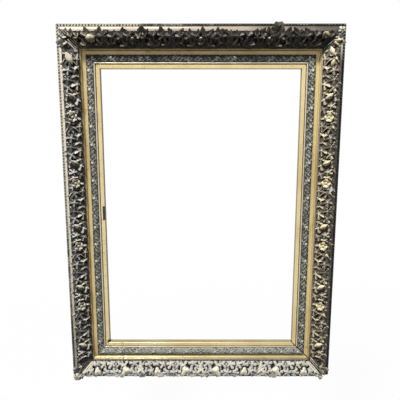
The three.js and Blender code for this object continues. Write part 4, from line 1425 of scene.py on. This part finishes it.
# Stage: pale floor well below, white behind, soft lamps above and to the left
stage = {
    "floor": -1.45, "reach": 9.0, "shade": 0.05, "shadeEnds": (0.8, 4.0), "paint": (0.8, 0.8, 0.8),
    "bounce": (0.05, 0.05, 0.05), "white": (1, 1, 1), "background": 1.0, "sky": (0.95, 0.97, 1),
    "ambient": 0.02,
}


def seenRays(tree):
    rays = put(tree, "ShaderNodeLightPath").outputs
    direct = calc(tree, "MAXIMUM", rays["Is Camera Ray"], rays["Is Glossy Ray"])
    return calc(tree, "MAXIMUM", direct, rays["Is Transmission Ray"]), rays["Is Diffuse Ray"]


floorShape = bmesh.new()
fillGrid(floorShape, 1, 1, stage["reach"])
bmesh.ops.translate(floorShape, verts=floorShape.verts, vec=(0, 0, stage["floor"]))
floor = link("paleFloor", toMesh("paleFloor", floorShape))
floorPaint, tree, place = startFinish("palePaint")
seen, bounced = seenRays(tree)
paint = layered(tree, stage["paint"], (bounced, stage["bounce"]))
matte = put(tree, "ShaderNodeBsdfDiffuse", {"Color": paint})
glow = put(tree, "ShaderNodeEmission", {"Color": stage["white"], "Strength": 1.0})
away = put(tree, "ShaderNodeVectorMath", {0: place}, operation="LENGTH").outputs["Value"]
share = calc(tree, "MULTIPLY", seen, stretch(tree, away, *stage["shadeEnds"], 1 - stage["shade"], 1.0))
mixed = put(tree, "ShaderNodeMixShader", {0: share, 1: matte.outputs[0], 2: glow.outputs[0]})
put(tree, "ShaderNodeOutputMaterial", {"Surface": mixed.outputs[0]})
floor.data.materials.append(floorPaint)

world = bpy.data.worlds.new("studio")
bpy.context.scene.world = world
world.use_nodes = True
tree = world.node_tree
tree.nodes.clear()
seen, _ = seenRays(tree)
soft = put(tree, "ShaderNodeBackground", {"Color": stage["sky"], "Strength": stage["ambient"]})
white = put(tree, "ShaderNodeBackground", {"Color": stage["white"], "Strength": stage["background"]})
mixed = put(tree, "ShaderNodeMixShader", {0: seen, 1: soft.outputs[0], 2: white.outputs[0]})
put(tree, "ShaderNodeOutputWorld", {"Surface": mixed.outputs[0]})


def pointAt(holder, at, aim):
    holder.location = at
    holder.rotation_euler = (Vector(aim) - Vector(at)).to_track_quat("-Z", "Y").to_euler()


lampAim = (0, 0, -0.45)
lamps = {
    "overhead": {"at": (-1.0, -2.5, 3.7), "size": 0.8, "power": 370, "colour": (1, 0.98, 0.95)},
    "window": {"at": (-2.6, -0.2, 0.2), "size": 1.0, "power": 8, "colour": (1, 0.99, 0.97)},
    "behind": {"at": (0, 6.5, -0.45), "size": 0.8, "power": 400, "colour": (1, 0.99, 0.97)},
}
for name, lamp in lamps.items():
    light = bpy.data.lights.new(name, "AREA")
    light.size, light.energy, light.color = lamp["size"], lamp["power"], lamp["colour"]
    holder = link(name, light)
    holder.visible_camera, holder.visible_glossy = False, name != "behind"
    pointAt(holder, lamp["at"], lampAim)

view = {"at": (-0.002, -1.285, -0.222), "aim": (-0.0024, -0.012, -0.4454), "lens": 41.04, "sensor": 36}
camera = link("camera", bpy.data.cameras.new("camera"))
camera.data.lens, camera.data.sensor_width = view["lens"], view["sensor"]
pointAt(camera, view["at"], view["aim"])
bpy.context.scene.camera = camera
bpy.context.scene.view_settings.view_transform = "Standard"
print("stage and camera set")
